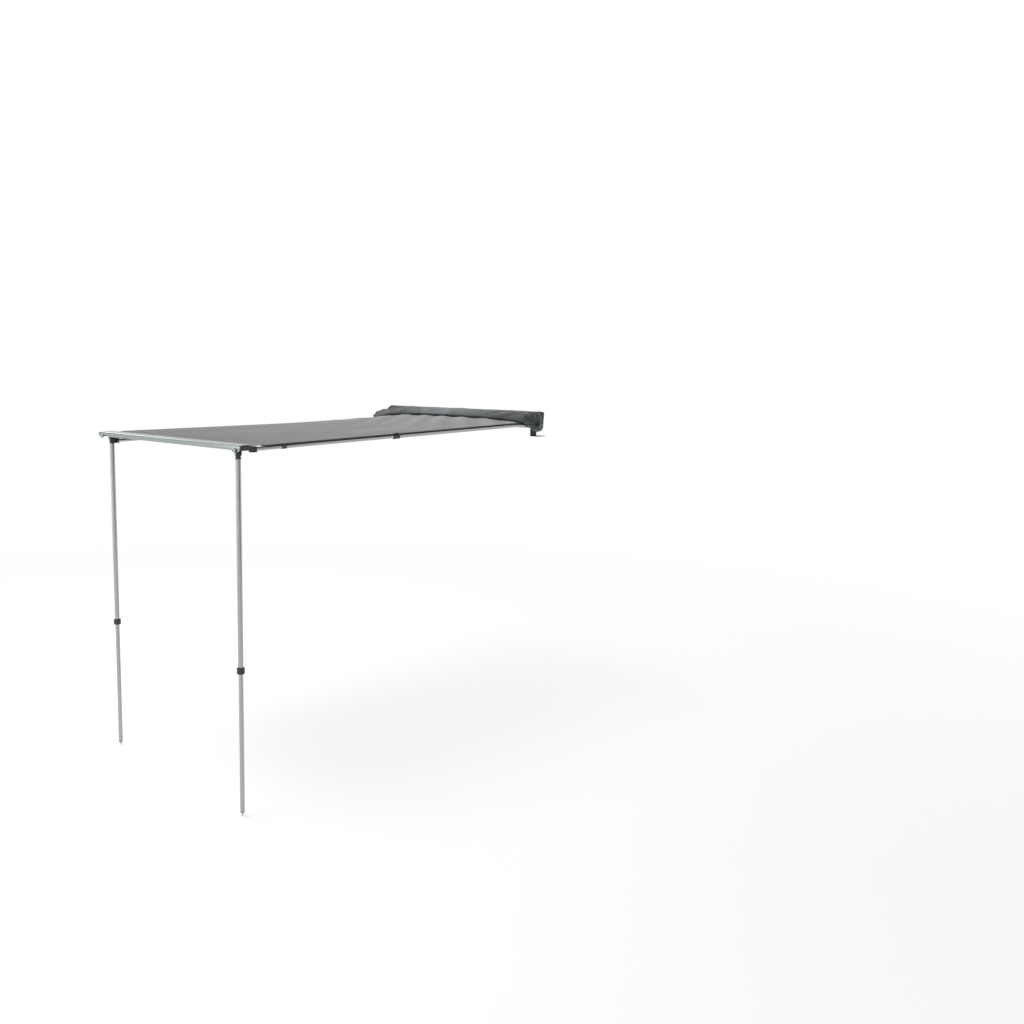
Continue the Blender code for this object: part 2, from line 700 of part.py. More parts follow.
def saddle(word, side):
    """The hook on the bar's back face that the arm's tip swings into from inside."""
    reach = ARM_INNER_RADIUS + SADDLE_CLEARANCE
    wall = reach + SADDLE_WALL
    end = SADDLE_PLATE + SADDLE_LENGTH
    middle_y = BAR_BACK_Y + GAP + end - SADDLE_LENGTH / 2
    middle_z = arm_z(side) + (middle_y - ARM_HINGE_Y) * ARM_SLOPE
    place = Matrix.Translation((side * ARM_X, BAR_BACK_Y + GAP, middle_z))
    seat_top = BAR_BOTTOM_Z + BAR_GROOVE_Z - GROOVE_SLIT / 2 - SADDLE_CLEARANCE
    top = max(seat_top - middle_z, wall)
    low_x, high_x = sorted((-side * SADDLE_LIP, side * wall))
    made = put("arm_saddle_" + word, block((low_x, 0.0, -wall), (high_x, end, top)), ALUMINIUM, place)
    open_x, shut_x = sorted((-side * SADDLE_LIP * 2, side * reach))
    cut(made, block((open_x, SADDLE_PLATE, -reach), (shut_x, end + SADDLE_WALL, reach)))
    if top > wall:
        low = (low_x - SADDLE_WALL, SADDLE_PLATE, wall)
        cut(made, block(low, (high_x + SADDLE_WALL, end + SADDLE_WALL, top + SADDLE_WALL)))
    return made


def knuckle(word, side):
    """A rounded block on the bar's front face where the leg hangs, reaching a little below the bar."""
    front = BAR_FRONT_Y - GAP
    low = (side * LEG_X - KNUCKLE_WIDTH / 2, front - KNUCKLE_DEPTH, BAR_BOTTOM_Z - KNUCKLE_DROP)
    high = (side * LEG_X + KNUCKLE_WIDTH / 2, front, low[2] + KNUCKLE_HEIGHT)
    made = put("bar_knuckle_" + word, block(low, high), ALUMINIUM)
    change = made.modifiers.new("Bevel", "BEVEL")
    change.width = KNUCKLE_EDGE
    change.segments = 3
    return shade(made)


def leg_place(side):
    """Where a leg's hinge pin crosses the leg's line."""
    return Vector((side * LEG_X, -AWNING_DEPTH - side * LEG_STAGGER / 2, LEG_PIVOT_Z))


def leg_block(word, side):
    """A base under the bar with two ears for the leg's hinge pin."""
    place = Matrix.Translation(leg_place(side))
    top = LEG_PIVOT_DROP - GAP
    half_x, half_y = BLOCK_BASE_LENGTH / 2, BLOCK_BASE_WIDTH / 2
    made = put(
        "leg_block_" + word,
        block((-half_x, -half_y, top - BLOCK_BASE_THICKNESS), (half_x, half_y, top)),
        BLACK_PLASTIC,
        place,
    )
    start = TONGUE_HALF + HINGE_GAP
    for ear in (-1, 1):
        near, far = sorted((ear * start, ear * (start + BLOCK_EAR)))
        ends = ((0, near, 0), (0, far, 0))
        join(made, rod(BLOCK_EAR_RADIUS, *ends))
        ear_top = top - BLOCK_BASE_THICKNESS / 2
        join(made, block((-BLOCK_EAR_RADIUS, near, 0.0), (BLOCK_EAR_RADIUS, far, ear_top)))
    cut(made, rod(LEG_PIN_RADIUS + HINGE_GAP, (0, -half_y, 0), (0, half_y, 0), SMALL_STEPS))
    return made


def leg_pin(word, side):
    """The rivet that the leg folds about, along Y."""
    half = TONGUE_HALF + HINGE_GAP + BLOCK_EAR + GAP
    end = half + LEG_PIN_HEAD_HEIGHT
    profile = [
        (0.0, end),
        (LEG_PIN_HEAD, end),
        (LEG_PIN_HEAD, half),
        (LEG_PIN_RADIUS, half),
        (LEG_PIN_RADIUS, -half),
        (LEG_PIN_HEAD, -half),
        (LEG_PIN_HEAD, -end),
        (0.0, -end),
    ]
    place = Matrix.Translation(leg_place(side)) @ Matrix.Rotation(math.pi / 2, 4, "X")
    return turned("leg_pin_" + word, profile, ZINC_STEEL, place, steps=SMALL_STEPS)


# Legs


def leg(word, side):
    """One telescopic leg: yoke, upper tube, twist collar, lower tube, foot and spike."""
    fold = pivot("leg_fold_" + word, Matrix.Translation(leg_place(side)))
    cup_end = LEG_CUP_START + LEG_CUP_LENGTH
    spigot = LEG_OUTER_RADIUS - LEG_WALL - GAP
    profile = [
        (0.0, -LEG_CUP_START),
        (LEG_CUP_NECK, -LEG_CUP_START),
        (LEG_CUP_RADIUS, -cup_end + LEG_CUP_LENGTH / 3),
        (LEG_CUP_RADIUS, -cup_end),
        (spigot, -cup_end),
        (spigot, -cup_end - LEG_SPIGOT),
        (0.0, -cup_end - LEG_SPIGOT),
    ]
    yoke = turned("leg_yoke_" + word, profile, BLACK_PLASTIC, None, fold)
    join(yoke, rod(TONGUE_RADIUS, (0, -TONGUE_HALF, 0), (0, TONGUE_HALF, 0)))
    join(yoke, block((-TONGUE_RADIUS, -TONGUE_HALF, -LEG_CUP_START - PAST), (TONGUE_RADIUS, TONGUE_HALF, 0.0)))
    reach = TONGUE_HALF + PAST
    cut(yoke, rod(LEG_PIN_RADIUS + HINGE_GAP, (0, -reach, 0), (0, reach, 0), SMALL_STEPS))
    tube("leg_upper_tube_" + word, LEG_OUTER_RADIUS, LEG_WALL, LEG_TUBE_TOP, LEG_OUTER_END, ALUMINIUM, fold)
    collar_start = LEG_OUTER_END - LEG_COLLAR_LENGTH / 2
    collar("leg_collar_" + word, LEG_OUTER_RADIUS, LEG_COLLAR_WALL, collar_start, LEG_COLLAR_LENGTH, fold)
    lower_start = LEG_OUTER_END - LEG_OVERLAP
    tube("leg_lower_tube_" + word, LEG_LOWER_RADIUS, LEG_WALL, lower_start, LEG_LOWER_END, ALUMINIUM, fold)
    plug = LEG_LOWER_RADIUS - LEG_WALL - GAP
    bore = SPIKE_RADIUS + GAP
    flange_top = -LEG_LOWER_END - GAP
    flange_bottom = -LEG_LOWER_END - FOOT_FLANGE
    profile = [
        (0.0, -LEG_LOWER_END + FOOT_SPIGOT),
        (plug, -LEG_LOWER_END + FOOT_SPIGOT),
        (plug, flange_top),
        (LEG_LOWER_RADIUS, flange_top),
        (LEG_LOWER_RADIUS - FOOT_TAPER, flange_bottom),
        (bore, flange_bottom),
        (bore, flange_bottom + SPIKE_SEAT + GAP),
        (0.0, flange_bottom + SPIKE_SEAT + GAP),
    ]
    turned("leg_foot_" + word, profile, BLACK_PLASTIC, None, fold)
    top = flange_bottom + SPIKE_SEAT
    rim = -LEG_REACH + SPIKE_COLLAR_HEIGHT
    profile = [
        (0.0, top),
        (SPIKE_RADIUS, top),
        (SPIKE_RADIUS, rim + SPIKE_COLLAR_THICKNESS),
        (SPIKE_COLLAR_RADIUS, rim + SPIKE_COLLAR_THICKNESS),
        (SPIKE_COLLAR_RADIUS, rim),
        (SPIKE_RADIUS, rim),
        (SPIKE_RADIUS - SPIKE_TAPER, -LEG_REACH),
        (0.0, -LEG_REACH),
    ]
    turned("leg_spike_" + word, profile, ZINC_STEEL, None, fold, steps=SMALL_STEPS)


# Canopy


def smooth_step(t):
    t = np.clip(t, 0.0, 1.0)
    return t * t * (3.0 - 2.0 * t)


def canopy_height(u, v):
    """The height of the cloth's top face. u runs from -1, left, to 1, right, and v from 0, rail, to 1, bar.

    A straight fall from the rail to the bar with a sag of CANOPY_SAG halfway. As the fourth power of u,
    the right edge comes to lie on its arm, and the left edge hangs LEFT_EDGE_SAG lower halfway.
    Long shallow folds fan out from the rail.
    """
    fall = RAIL_GROOVE_Z + CANOPY_THICKNESS / 2 + (CANOPY_FRONT_Z - RAIL_GROOVE_Z) * v
    middle = fall - CANOPY_SAG * 4.0 * v * (1.0 - v)
    on_arm = ARM_HINGE_Z + (canopy_y(v) - ARM_HINGE_Y) * ARM_SLOPE
    right = on_arm + COLLAR_RADIUS + EDGE_CLEARANCE + HEM_THICKNESS + CANOPY_THICKNESS
    left = middle - LEFT_EDGE_SAG * np.sin(np.pi * v)
    edge = (np.where(u > 0.0, right, left) - middle) * np.abs(u) ** 4
    held = smooth_step((v - LIP_SHARE) / EDGE_RAMP) * smooth_step((1.0 - LIP_SHARE - v) / EDGE_RAMP)
    folds = FOLD_HEIGHT * np.sin(FOLD_COUNT * np.pi * (u + 0.35 * v)) * np.sin(np.pi * v) * (1.0 - u**2)
    return middle + held * (folds + edge)


def canopy_y(v):
    return CANOPY_REAR_Y + (CANOPY_FRONT_Y - CANOPY_REAR_Y) * v


def canopy_rows():
    """Where the cloth's rows lie: close together at the grooves, then evenly spaced."""
    start = np.array([0.0, LIP_SHARE, LIP_SHARE + EDGE_RAMP / 2])
    middle = np.linspace(LIP_SHARE + EDGE_RAMP, 1.0 - LIP_SHARE - EDGE_RAMP, CANOPY_ROWS)
    return np.concatenate([start, middle, 1.0 - start[::-1]])


def canopy():
    """The cloth from the rail's groove to the bar's groove."""
    grid_v, grid_u = np.meshgrid(canopy_rows(), np.linspace(-1.0, 1.0, CANOPY_COLUMNS), indexing="ij")
    points = np.stack([grid_u * CANOPY_WIDTH / 2, canopy_y(grid_v), canopy_height(grid_u, grid_v)], -1)
    return surface("canopy", points, CANOPY_THICKNESS, CANOPY_CLOTH, -1.0)


def hem(word, side):
    """The webbing binding under one edge of the canopy."""
    rows = canopy_rows()
    saddle_y = BAR_BACK_Y + GAP + SADDLE_PLATE + SADDLE_LENGTH
    v = rows[(canopy_y(rows) < -HEM_START) & (canopy_y(rows) > saddle_y + HEM_CLEARANCE)]
    outer = side * (CANOPY_WIDTH / 2 + HEM_OVERHANG)
    inner = outer - side * HEM_WIDTH
    x = np.array(sorted((inner, outer)))
    grid_v, grid_x = np.meshgrid(v, x, indexing="ij")
    under = lowest_near_edge(side, grid_v) - CANOPY_THICKNESS - GAP * 2
    points = np.stack([grid_x, canopy_y(grid_v), under], -1)
    return surface("canopy_hem_" + word, points, HEM_THICKNESS, WEBBING, -1.0)


def lowest_near_edge(side, v):
    """The cloth's lowest height over the width of the hem."""
    inner = 1.0 - 2.0 * HEM_WIDTH / CANOPY_WIDTH
    u = side * np.ones_like(v)
    return np.minimum(canopy_height(u, v), canopy_height(inner * u, v))


def strap(word, side):
    """A hook-and-loop tie round the arm, closed just under the hem."""
    line_z = arm_z(side) + (STRAP_Y - ARM_HINGE_Y) * ARM_SLOPE
    v = np.array((STRAP_Y - CANOPY_REAR_Y) / (CANOPY_FRONT_Y - CANOPY_REAR_Y))
    under = float(lowest_near_edge(side, v)) - CANOPY_THICKNESS - HEM_THICKNESS - GAP * 3
    radius = ARM_INNER_RADIUS + GAP
    outer = radius + STRAP_THICKNESS
    lift = max(under - line_z - outer - STRAP_WIDTH / 2 * ARM_SLOPE, 0.0)
    loops = []
    for size in (outer, radius):
        low = arc((0.0, 0.0), size, 180.0, 360.0, EAR_STEPS)
        high = arc((0.0, lift), size, 0.0, 180.0, EAR_STEPS)
        loops.append(low + high if lift > 0.0001 else low + high[1:-1])
    frame = Matrix.Translation((side * ARM_X, STRAP_Y, line_z)) @ Matrix.Rotation(TILT + math.pi / 2, 4, "X")
    return shade(outline("edge_strap_" + word, loops, STRAP_WIDTH, WEBBING, frame))


# Cover


def cover_profile(count):
    """The cover's outer line from its front lip, over the top, to its rear edge, as (y, z).

    Smooth cubic pieces between the lip, the brow, the crown, the rail's top and the rear edge.
    """
    rest = RAIL_HEIGHT / 2 + GAP + COVER_THICKNESS
    knots = np.array(
        [
            (-COVER_FRONT + 0.010, COVER_LIP_Z),
            (-COVER_FRONT, COVER_LIP_Z + 0.018),
            (-COVER_FRONT + 0.030, COVER_HEIGHT - 0.014),
            (-COVER_FRONT * 0.55, COVER_HEIGHT - 0.002),
            (-COVER_FRONT * 0.30, COVER_HEIGHT),
            (-RAIL_THICKNESS * 1.15, rest + 0.0060),
            (-RAIL_THICKNESS * 0.35, rest + 0.0004),
            (COVER_BACK * 0.40, rest - 0.0015),
            (COVER_BACK * 0.92, COVER_BACK_Z + 0.016),
            (COVER_BACK, COVER_BACK_Z),
        ]
    )
    last = len(knots) - 1
    t = np.linspace(0.0, last, count)
    i = np.minimum(t.astype(int), last - 1)
    f = (t - i)[:, None]
    slopes = np.gradient(knots, axis=0)
    h00, h10 = 2 * f**3 - 3 * f**2 + 1, f**3 - 2 * f**2 + f
    h01, h11 = -2 * f**3 + 3 * f**2, f**3 - f**2
    return h00 * knots[i] + h10 * slopes[i] + h01 * knots[i + 1] + h11 * slopes[i + 1]


def cover_top():
    """The cover's flap, thrown back over the rail."""
    line = cover_profile(28)
    x = np.linspace(-COVER_HALF_LENGTH, COVER_HALF_LENGTH, 9)
    points = np.zeros((len(x), len(line), 3))
    points[..., 0] = x[:, None]
    points[..., 1:] = line[None]
    return surface("cover_flap", points, COVER_THICKNESS, COVER_CLOTH, -1.0)


def end_rim():
    """The outline of a cover end, as (y, z): the flap's line above, and a drooping hem below."""
    top = cover_profile(15) + np.array([0.0, -0.001])
    low = np.array(
        [
            (COVER_BACK + 0.002, 0.0),
            (COVER_BACK, END_BOTTOM_Z * 0.55),
            (COVER_BACK * 0.4, END_BOTTOM_Z * 0.92),
            (-COVER_FRONT * 0.12, END_BOTTOM_Z),
            (-COVER_FRONT * 0.33, END_BOTTOM_Z * 0.88),
            (-COVER_FRONT * 0.62, END_BOTTOM_Z * 0.50),
            (-COVER_FRONT * 0.88, END_BOTTOM_Z * 0.02),
        ]
    )
    return np.concatenate([top, low])


def cover_end(word, side):
    """The gathered end of the cover, hanging over the rail's end."""
    rim = end_rim()
    rim = np.concatenate([rim, rim[:1]])
    middle = np.array([-COVER_FRONT * 0.36, END_MIDDLE_Z])
    rings = np.array([1.0, 0.82, 0.6, 0.36, 0.14])
    around = np.arange(len(rim)) / (len(rim) - 1)
    points = np.zeros((len(rings), len(rim), 3))
    points[..., 1:] = middle + (rim - middle)[None] * rings[:, None, None]
    waves = np.cos(2.0 * np.pi * GATHER_COUNT * around)
    gather = GATHER_HEIGHT * waves[None] * np.sin(np.pi * rings)[:, None]
    swell = END_BULGE * (1.0 - rings[:, None] ** 2) + gather
    points[..., 0] = side * (COVER_HALF_LENGTH + GAP + END_THICKNESS + swell)
    rows, columns = points.shape[:2]
    builder = bmesh.new()
    grid = [[builder.verts.new(points[r, c]) for c in range(columns - 1)] for r in range(rows)]
    for r in range(rows - 1):
        for c in range(columns - 1):
            d = (c + 1) % (columns - 1)
            builder.faces.new((grid[r][c], grid[r][d], grid[r + 1][d], grid[r + 1][c]))
    builder.faces.new(grid[-1])
    bmesh.ops.recalc_face_normals(builder, faces=builder.faces)
    if sum(face.normal.x * face.calc_area() for face in builder.faces) * side < 0:
        bmesh.ops.reverse_faces(builder, faces=builder.faces)
    mesh = bpy.data.meshes.new("cover_end")
    builder.to_mesh(mesh)
    builder.free()
    made = put("cover_end_" + word, mesh, COVER_CLOTH)
    change = made.modifiers.new("Solidify", "SOLIDIFY")
    change.thickness = END_THICKNESS
    change.offset = -1.0
    return shade(made)


rail()
front_bar()
canopy()
cover_top()
_, rail_bore = groove(-RAIL_THICKNESS, RAIL_GROOVE_Z, 1)
_, bar_bore = groove(BAR_DEPTH, BAR_GROOVE_Z, -1)
bead("canopy_bead_rail", rail_bore, RAIL_GROOVE_Z, CANOPY_WIDTH)
bead("canopy_bead_bar", BAR_FRONT_Y + bar_bore, CANOPY_FRONT_Z, CANOPY_WIDTH)
for label, hand in SIDES:
    rail_cap(label, hand)
    rack_bracket(label, hand)
    hinge_bracket(label, hand)
    hinge_pin(label, hand)
    arm(label, hand)
    bar_cap(label, hand)
    saddle(label, hand)
    knuckle(label, hand)
    leg_block(label, hand)
    leg_pin(label, hand)
    leg(label, hand)
    hem(label, hand)
    strap(label, hand)
    cover_end(label, hand)
for label, hand in SIDES:
    for level, offset in (("lower", -1), ("upper", 1)):
        bolt_and_nut(label + "_" + level, hand * BRACKET_X, BOLT_MID_Z + offset * BOLT_SPACING / 2)
bpy.context.view_layer.update()
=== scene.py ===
"""Looks for a side awning, set up on its arms and legs.

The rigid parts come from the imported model: this file rounds their edges and gives them their finishes. The
cloth, the cover, the webbing, the tubes and the small fittings are new surfaces, worked out with numpy.
Metres. +X runs along the mounting rail to its right end, -Y points out to the front bar and +Z is up. The
origin is the centre of the rail's rear face.
"""

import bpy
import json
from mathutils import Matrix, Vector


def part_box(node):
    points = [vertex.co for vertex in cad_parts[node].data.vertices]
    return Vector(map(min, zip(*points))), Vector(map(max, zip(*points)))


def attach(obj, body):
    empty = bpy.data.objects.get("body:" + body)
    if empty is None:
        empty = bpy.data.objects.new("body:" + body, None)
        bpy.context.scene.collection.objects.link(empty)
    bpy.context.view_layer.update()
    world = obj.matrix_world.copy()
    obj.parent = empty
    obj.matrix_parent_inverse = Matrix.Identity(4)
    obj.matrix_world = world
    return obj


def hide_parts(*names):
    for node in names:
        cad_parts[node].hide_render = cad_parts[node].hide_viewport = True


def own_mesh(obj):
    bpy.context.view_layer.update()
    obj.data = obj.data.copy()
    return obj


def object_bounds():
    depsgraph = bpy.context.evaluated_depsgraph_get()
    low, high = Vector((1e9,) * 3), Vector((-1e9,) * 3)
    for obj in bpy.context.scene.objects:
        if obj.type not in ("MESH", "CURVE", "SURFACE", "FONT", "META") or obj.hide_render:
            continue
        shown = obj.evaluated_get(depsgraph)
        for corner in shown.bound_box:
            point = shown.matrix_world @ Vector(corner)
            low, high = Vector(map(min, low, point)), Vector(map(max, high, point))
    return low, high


bl_info = {
    "name": "Side Awning",
    "version": (1, 0, 0),
    "blender": (4, 5, 0),
    "location": "View3D > Sidebar > Awning",
    "description": "Cloth, cover, tubes, fittings and finishes of a side awning",
    "category": "Object",
}

import json
import math

import bmesh
import bpy
import numpy as np
from mathutils import Matrix, Vector

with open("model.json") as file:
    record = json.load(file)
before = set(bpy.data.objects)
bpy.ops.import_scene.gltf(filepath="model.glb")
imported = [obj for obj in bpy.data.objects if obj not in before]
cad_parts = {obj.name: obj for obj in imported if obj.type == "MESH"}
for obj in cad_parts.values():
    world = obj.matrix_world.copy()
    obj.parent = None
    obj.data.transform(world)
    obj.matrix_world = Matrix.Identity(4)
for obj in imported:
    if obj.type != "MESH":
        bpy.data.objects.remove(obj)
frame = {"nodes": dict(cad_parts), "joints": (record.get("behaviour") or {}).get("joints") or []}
CAD_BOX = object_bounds()

SIDES = (("right", 1), ("left", -1))
X_AXIS, Y_AXIS, Z_AXIS = np.eye(3)

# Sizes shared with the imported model
GAP = 0.0003
RAIL_GROOVE_Z = 0.018
GROOVE_LIP = 0.005
ARM_SLOPE = 0.0465
HEM_WIDTH = 0.012
HEM_THICKNESS = 0.005
STRAP_Y = -1.962
STRAP_WIDTH = 0.025
TUBE_WALL = 0.0012
COLLAR_RIBS = 14
NOTCH_MID_Z = 0.0205

# Rows and columns of the grids of points
CANOPY_GRID = (250, 150)
FLAP_GRID = (120, 330)
LIP_GRID = (90, 280)
END_GRID = (110, 360)

# Canopy: its top face above the grooves' middle, its run with the sag over the straight one, the share of the
# run that is held flat at a groove, its lift over the right arm's collar and the pitch of its slanted folds
CLOTH_RISE = 0.0008
GROOVE_RAMP = 0.045
COLLAR_LIFT = 0.0040
PULL_PITCH = 0.155

# Hem: its height above the cloth, its run on under the cover, how far it ends before the bar, so that it
# stays clear of the saddle, and its rows of stitches
HEM_PROUD = 0.0012
HEM_TUCK = 0.035
HEM_SHORT = 0.005
HEM_ROWS = (("outer", 0.0038), ("inner", -0.0038))
STITCH_LIFT = 0.0013
STITCH_SIZE = (0.0028, 0.0007, 0.0006)
HEM_PITCH = 0.0042

# Cover: the panel of a gathered end as it is cut, and its cloth coordinates round the rim and in to the knot
END_RIM_RUN = 0.62
END_REACH = 0.12
PIPING_RADIUS = 0.0021
PIPING_TONE = 0.25
LIP_PITCH = 0.0040
ZIP_PITCH = 0.0026
TAB_PLACES = (-0.51, -0.235, 0.04, 0.315, 0.51)
TAB_WIDTH = 0.020

# Fittings: the power that squares the knuckles, the depth of a collar's two grooves and of its ribs
KNUCKLE_POWER = 0.36
COLLAR_WAIST = 0.0007
RIB_DEPTH = 0.0009

# Long creases of the flap: where each starts along the rail, its slant and its depth
CREASES = ((0.42, 0.9, 0.0030), (0.12, -0.8, 0.0022), (-0.30, 0.7, 0.0024), (0.60, 1.3, 0.0034))

# Stage: the floor's own light for direct rays, and how far out it begins and ends to fade to plain white
FLOOR_LIFT = 0.36
FLOOR_FADE = (3.0, 8.0)
STAGE_MIDDLE = (0.0, -1.1, -0.9)

# Camera: its place, and the directions to the right and up in its picture
CAMERA_PLACE = (4.5239, -4.7118, 0.1954)
CAMERA_RIGHT = Vector((0.75465, 0.65566, 0.0249))
CAMERA_UP = Vector((-0.10334, 0.08129, 0.99132))


def low_high(node):
    """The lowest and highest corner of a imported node, as arrays."""
    low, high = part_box(node)
    return np.array(low), np.array(high)


CANOPY_LOW, CANOPY_HIGH = low_high("canopy")
RAIL_LOW, RAIL_HIGH = low_high("mounting_rail")
BAR_LOW, BAR_HIGH = low_high("front_bar")
FLAP_LOW, FLAP_HIGH = low_high("cover_flap")
JOINTS = {joint["name"]: joint for joint in frame["joints"]}
SLOPE_AXIS = np.array(JOINTS["bar_travel"]["axis"])

HALF_WIDTH = CANOPY_HIGH[0]
CANOPY_REAR_Y = CANOPY_HIGH[1]
CANOPY_RUN = CANOPY_REAR_Y - CANOPY_LOW[1]
BAR_GROOVE_Z = sum(low_high("canopy_bead_bar"))[2] / 2
LIP_SHARE = GROOVE_LIP / CANOPY_RUN
LIP_SHARE_OF_FLAP = (CANOPY_REAR_Y - FLAP_LOW[1]) / CANOPY_RUN


# Settings


def colour(name, what, default):
    """A colour that a user may change."""
    return bpy.props.FloatVectorProperty(
        name=name, description="Colour of " + what, subtype="COLOR", size=3, default=default
    )


def length(name, description, default):
    """A length in metres that a user may change."""
    return bpy.props.FloatProperty(name=name, description=description, default=default, unit="LENGTH")


def power(name, what, default):
    """A lamp's power in watts that a user may change."""
    return bpy.props.FloatProperty(
        name=name, description="Power of the " + what, default=default, min=0.0, unit="POWER"
    )


class AwningCanopySettings(bpy.types.PropertyGroup):
    """The canopy cloth and its webbing"""

    cloth: colour("Cloth", "the canopy cloth", (0.295, 0.30, 0.292))
    webbing: colour("Webbing", "the hems", (0.062, 0.047, 0.047))
    sag: length("Sag", "How far the cloth's middle hangs below a straight fall", 0.0115)
    thickness: length("Thickness", "Thickness of the canopy cloth", 0.0008)
    fold_height: length("Fold height", "Height of the long folds that fan out", 0.0016)
    pull_height: length("Pull height", "Height of the diagonal folds near the cover", 0.0034)
    left_edge_sag: length("Left edge sag", "How far the left edge hangs near the cover", 0.050)


class AwningCoverSettings(bpy.types.PropertyGroup):
    """The cover's flap and its gathered ends"""

    cloth: colour("Cloth", "the cover cloth", (0.082, 0.101, 0.104))
    thickness: length("Thickness", "Thickness of the cover cloth", 0.0012)
    crumple: length("Crumple", "Height of the crumples in the flap", 0.0058)
    gathers: bpy.props.IntProperty(
        name="Gathers", description="Number of folds drawn into each end", default=9, min=5, max=40
    )
    gather_depth: length("Gather depth", "Height of the folds drawn into each end", 0.020)
    left_drop: length("Left drop", "How much lower the flap's crown is to the left", 0.008)


class AwningFinishSettings(bpy.types.PropertyGroup):
    """The rigid parts' colours, edges and facets"""

    anodised: colour("Anodised", "the rail and the bar", (0.335, 0.37, 0.36))
    tube: colour("Tube", "the arm and leg tubes", (0.385, 0.402, 0.406))
    plastic: colour("Plastic", "the moulded fittings", (0.030, 0.036, 0.035))
    powder: colour("Powder coat", "the brackets", (0.028, 0.031, 0.032))
    edges: bpy.props.FloatProperty(
        name="Edges", description="Factor on the width of the rounded edges", default=1.0, min=0.1, max=2.0
    )
    segments: bpy.props.IntProperty(
        name="Segments", description="Facets round a tube", default=56, min=16, max=128
    )


class AwningStageSettings(bpy.types.PropertyGroup):
    """The camera and the light"""

    lens: bpy.props.FloatProperty(
        name="Lens", description="Focal length of the camera in millimetres", default=33.18, min=10.0
    )
    sky: bpy.props.FloatProperty(
        name="Sky", description="Strength of the even light from all round", default=0.60, min=0.0
    )
    key: power("Key", "large soft light overhead", 46.0)
    front: power("Front", "soft light that the bar mirrors", 48.0)
    side: power("Side", "tall soft light at the side", 30.0)


# Directions, lengths and outlines


def turns(count):
    """Angles evenly spaced round a whole turn."""
    return 2 * np.pi * np.arange(count) / count


def unit(vectors):
    """The same directions with length 1."""
    return vectors / np.linalg.norm(vectors, axis=-1, keepdims=True)


def run_along(points, closed=False):
    """The length run along a path at each of its points, and back at the first one where it is closed."""
    points = np.vstack([points, points[:1]]) if closed else points
    return np.concatenate([[0.0], np.cumsum(np.linalg.norm(np.diff(points, axis=0), axis=1))])


def read_at(places, run, path):
    """A path's coordinates at places along its run, on the straight lines between its points."""
    return np.stack([np.interp(places, run, path[:, k]) for k in range(path.shape[1])], -1)


def spread(across, along):
    """A grid of the cloth's own coordinates, from its columns' and its rows' places."""
    return np.stack(np.broadcast_arrays(across[None], along[:, None]), -1)


def rounded(corners, radius, steps=4, closed=False):
    """An outline whose corners are arcs: each is a quadratic curve that starts and ends radius from the
    corner, or a little under half way along a shorter side."""
    points = np.asarray(corners, float)

    def towards(others):
        """The places on the way from each corner to another at which its arc starts or ends."""
        way = others - points
        reach = np.linalg.norm(way, axis=1, keepdims=True)
        return points + way * (np.minimum(radius, 0.45 * reach) / np.maximum(reach, 1e-9))

    starts, ends = towards(np.roll(points, 1, axis=0)), towards(np.roll(points, -1, axis=0))
    t = np.linspace(0.0, 1.0, steps + 1)[None, :, None]
    curve = (1 - t) ** 2 * starts[:, None] + 2 * t * (1 - t) * points[:, None] + t**2 * ends[:, None]
    if closed:
        return curve.reshape(-1, 2)
    return np.vstack([points[:1], curve[1:-1].reshape(-1, 2), points[-1:]])


def box_outline(width, height, radius):
    """A rectangle with rounded corners, centred on the path."""
    x, y = width / 2, height / 2
    return rounded([(-x, -y), (x, -y), (x, y), (-x, y)], radius, closed=True)


def circle(radius, count=16):
    """A circle centred on the path."""
    return radius * np.stack([np.cos(turns(count)), np.sin(turns(count))], -1)


def axis_frame(origin, axis):
    """A frame at origin whose Z runs along axis and whose X stays near the world's, as (origin, columns)."""
    z = unit(np.array(axis, float))
    x = unit(X_AXIS - z[0] * z)
    return np.array(origin, float), np.stack([x, np.cross(z, x), z], -1)


def smooth_step(t):
    """0 below 0 and 1 above 1, with an S-shaped cubic between."""
    t = np.clip(t, 0.0, 1.0)
    return t * t * (3.0 - 2.0 * t)


def lattice_noise(a, b, seed):
    """Smooth noise from 0 to 1: random values on a square lattice, eased from one to the next."""
    table = np.random.default_rng(seed).random((64, 64))
    whole_a, whole_b = np.floor(a).astype(int), np.floor(b).astype(int)
    ease_a, ease_b = smooth_step(a - whole_a), smooth_step(b - whole_b)
    low, high = (
        table[whole_a % 64, row % 64] * (1 - ease_a) + table[(whole_a + 1) % 64, row % 64] * ease_a
        for row in (whole_b, whole_b + 1)
    )
    return low * (1 - ease_b) + high * ease_b


def crumpled(a, b, size, seed, layers=4):
    """Creased cloth, about -1 to 1: sharp ridges where smooth noise crosses its middle, in layers that are
    each 0.55 times as large and 0.6 times as high as the last, and turned by 50 degrees."""
    total, height, whole = 0.0, 1.0, 0.0
    for layer in range(layers):
        turn = math.radians(50.0 * layer + 17.0)
        p = (a * math.cos(turn) + b * math.sin(turn)) / size
        q = (b * math.cos(turn) - a * math.sin(turn)) / (size * 0.6)
        total = total + height * (1.0 - 2.0 * np.abs(2.0 * lattice_noise(p, q, seed + layer) - 1.0) ** 0.8)
        whole += height
        height *= 0.6
        size *= 0.55
    return total / whole


# Meshes from grids of points


def grid_corners(rows, columns):
    """The four corners of each cell of a grid, as indices."""
    index = np.arange(rows * columns).reshape(rows, columns)
    return np.stack([index[:-1, :-1], index[:-1, 1:], index[1:, 1:], index[1:, :-1]], -1).reshape(-1, 4)


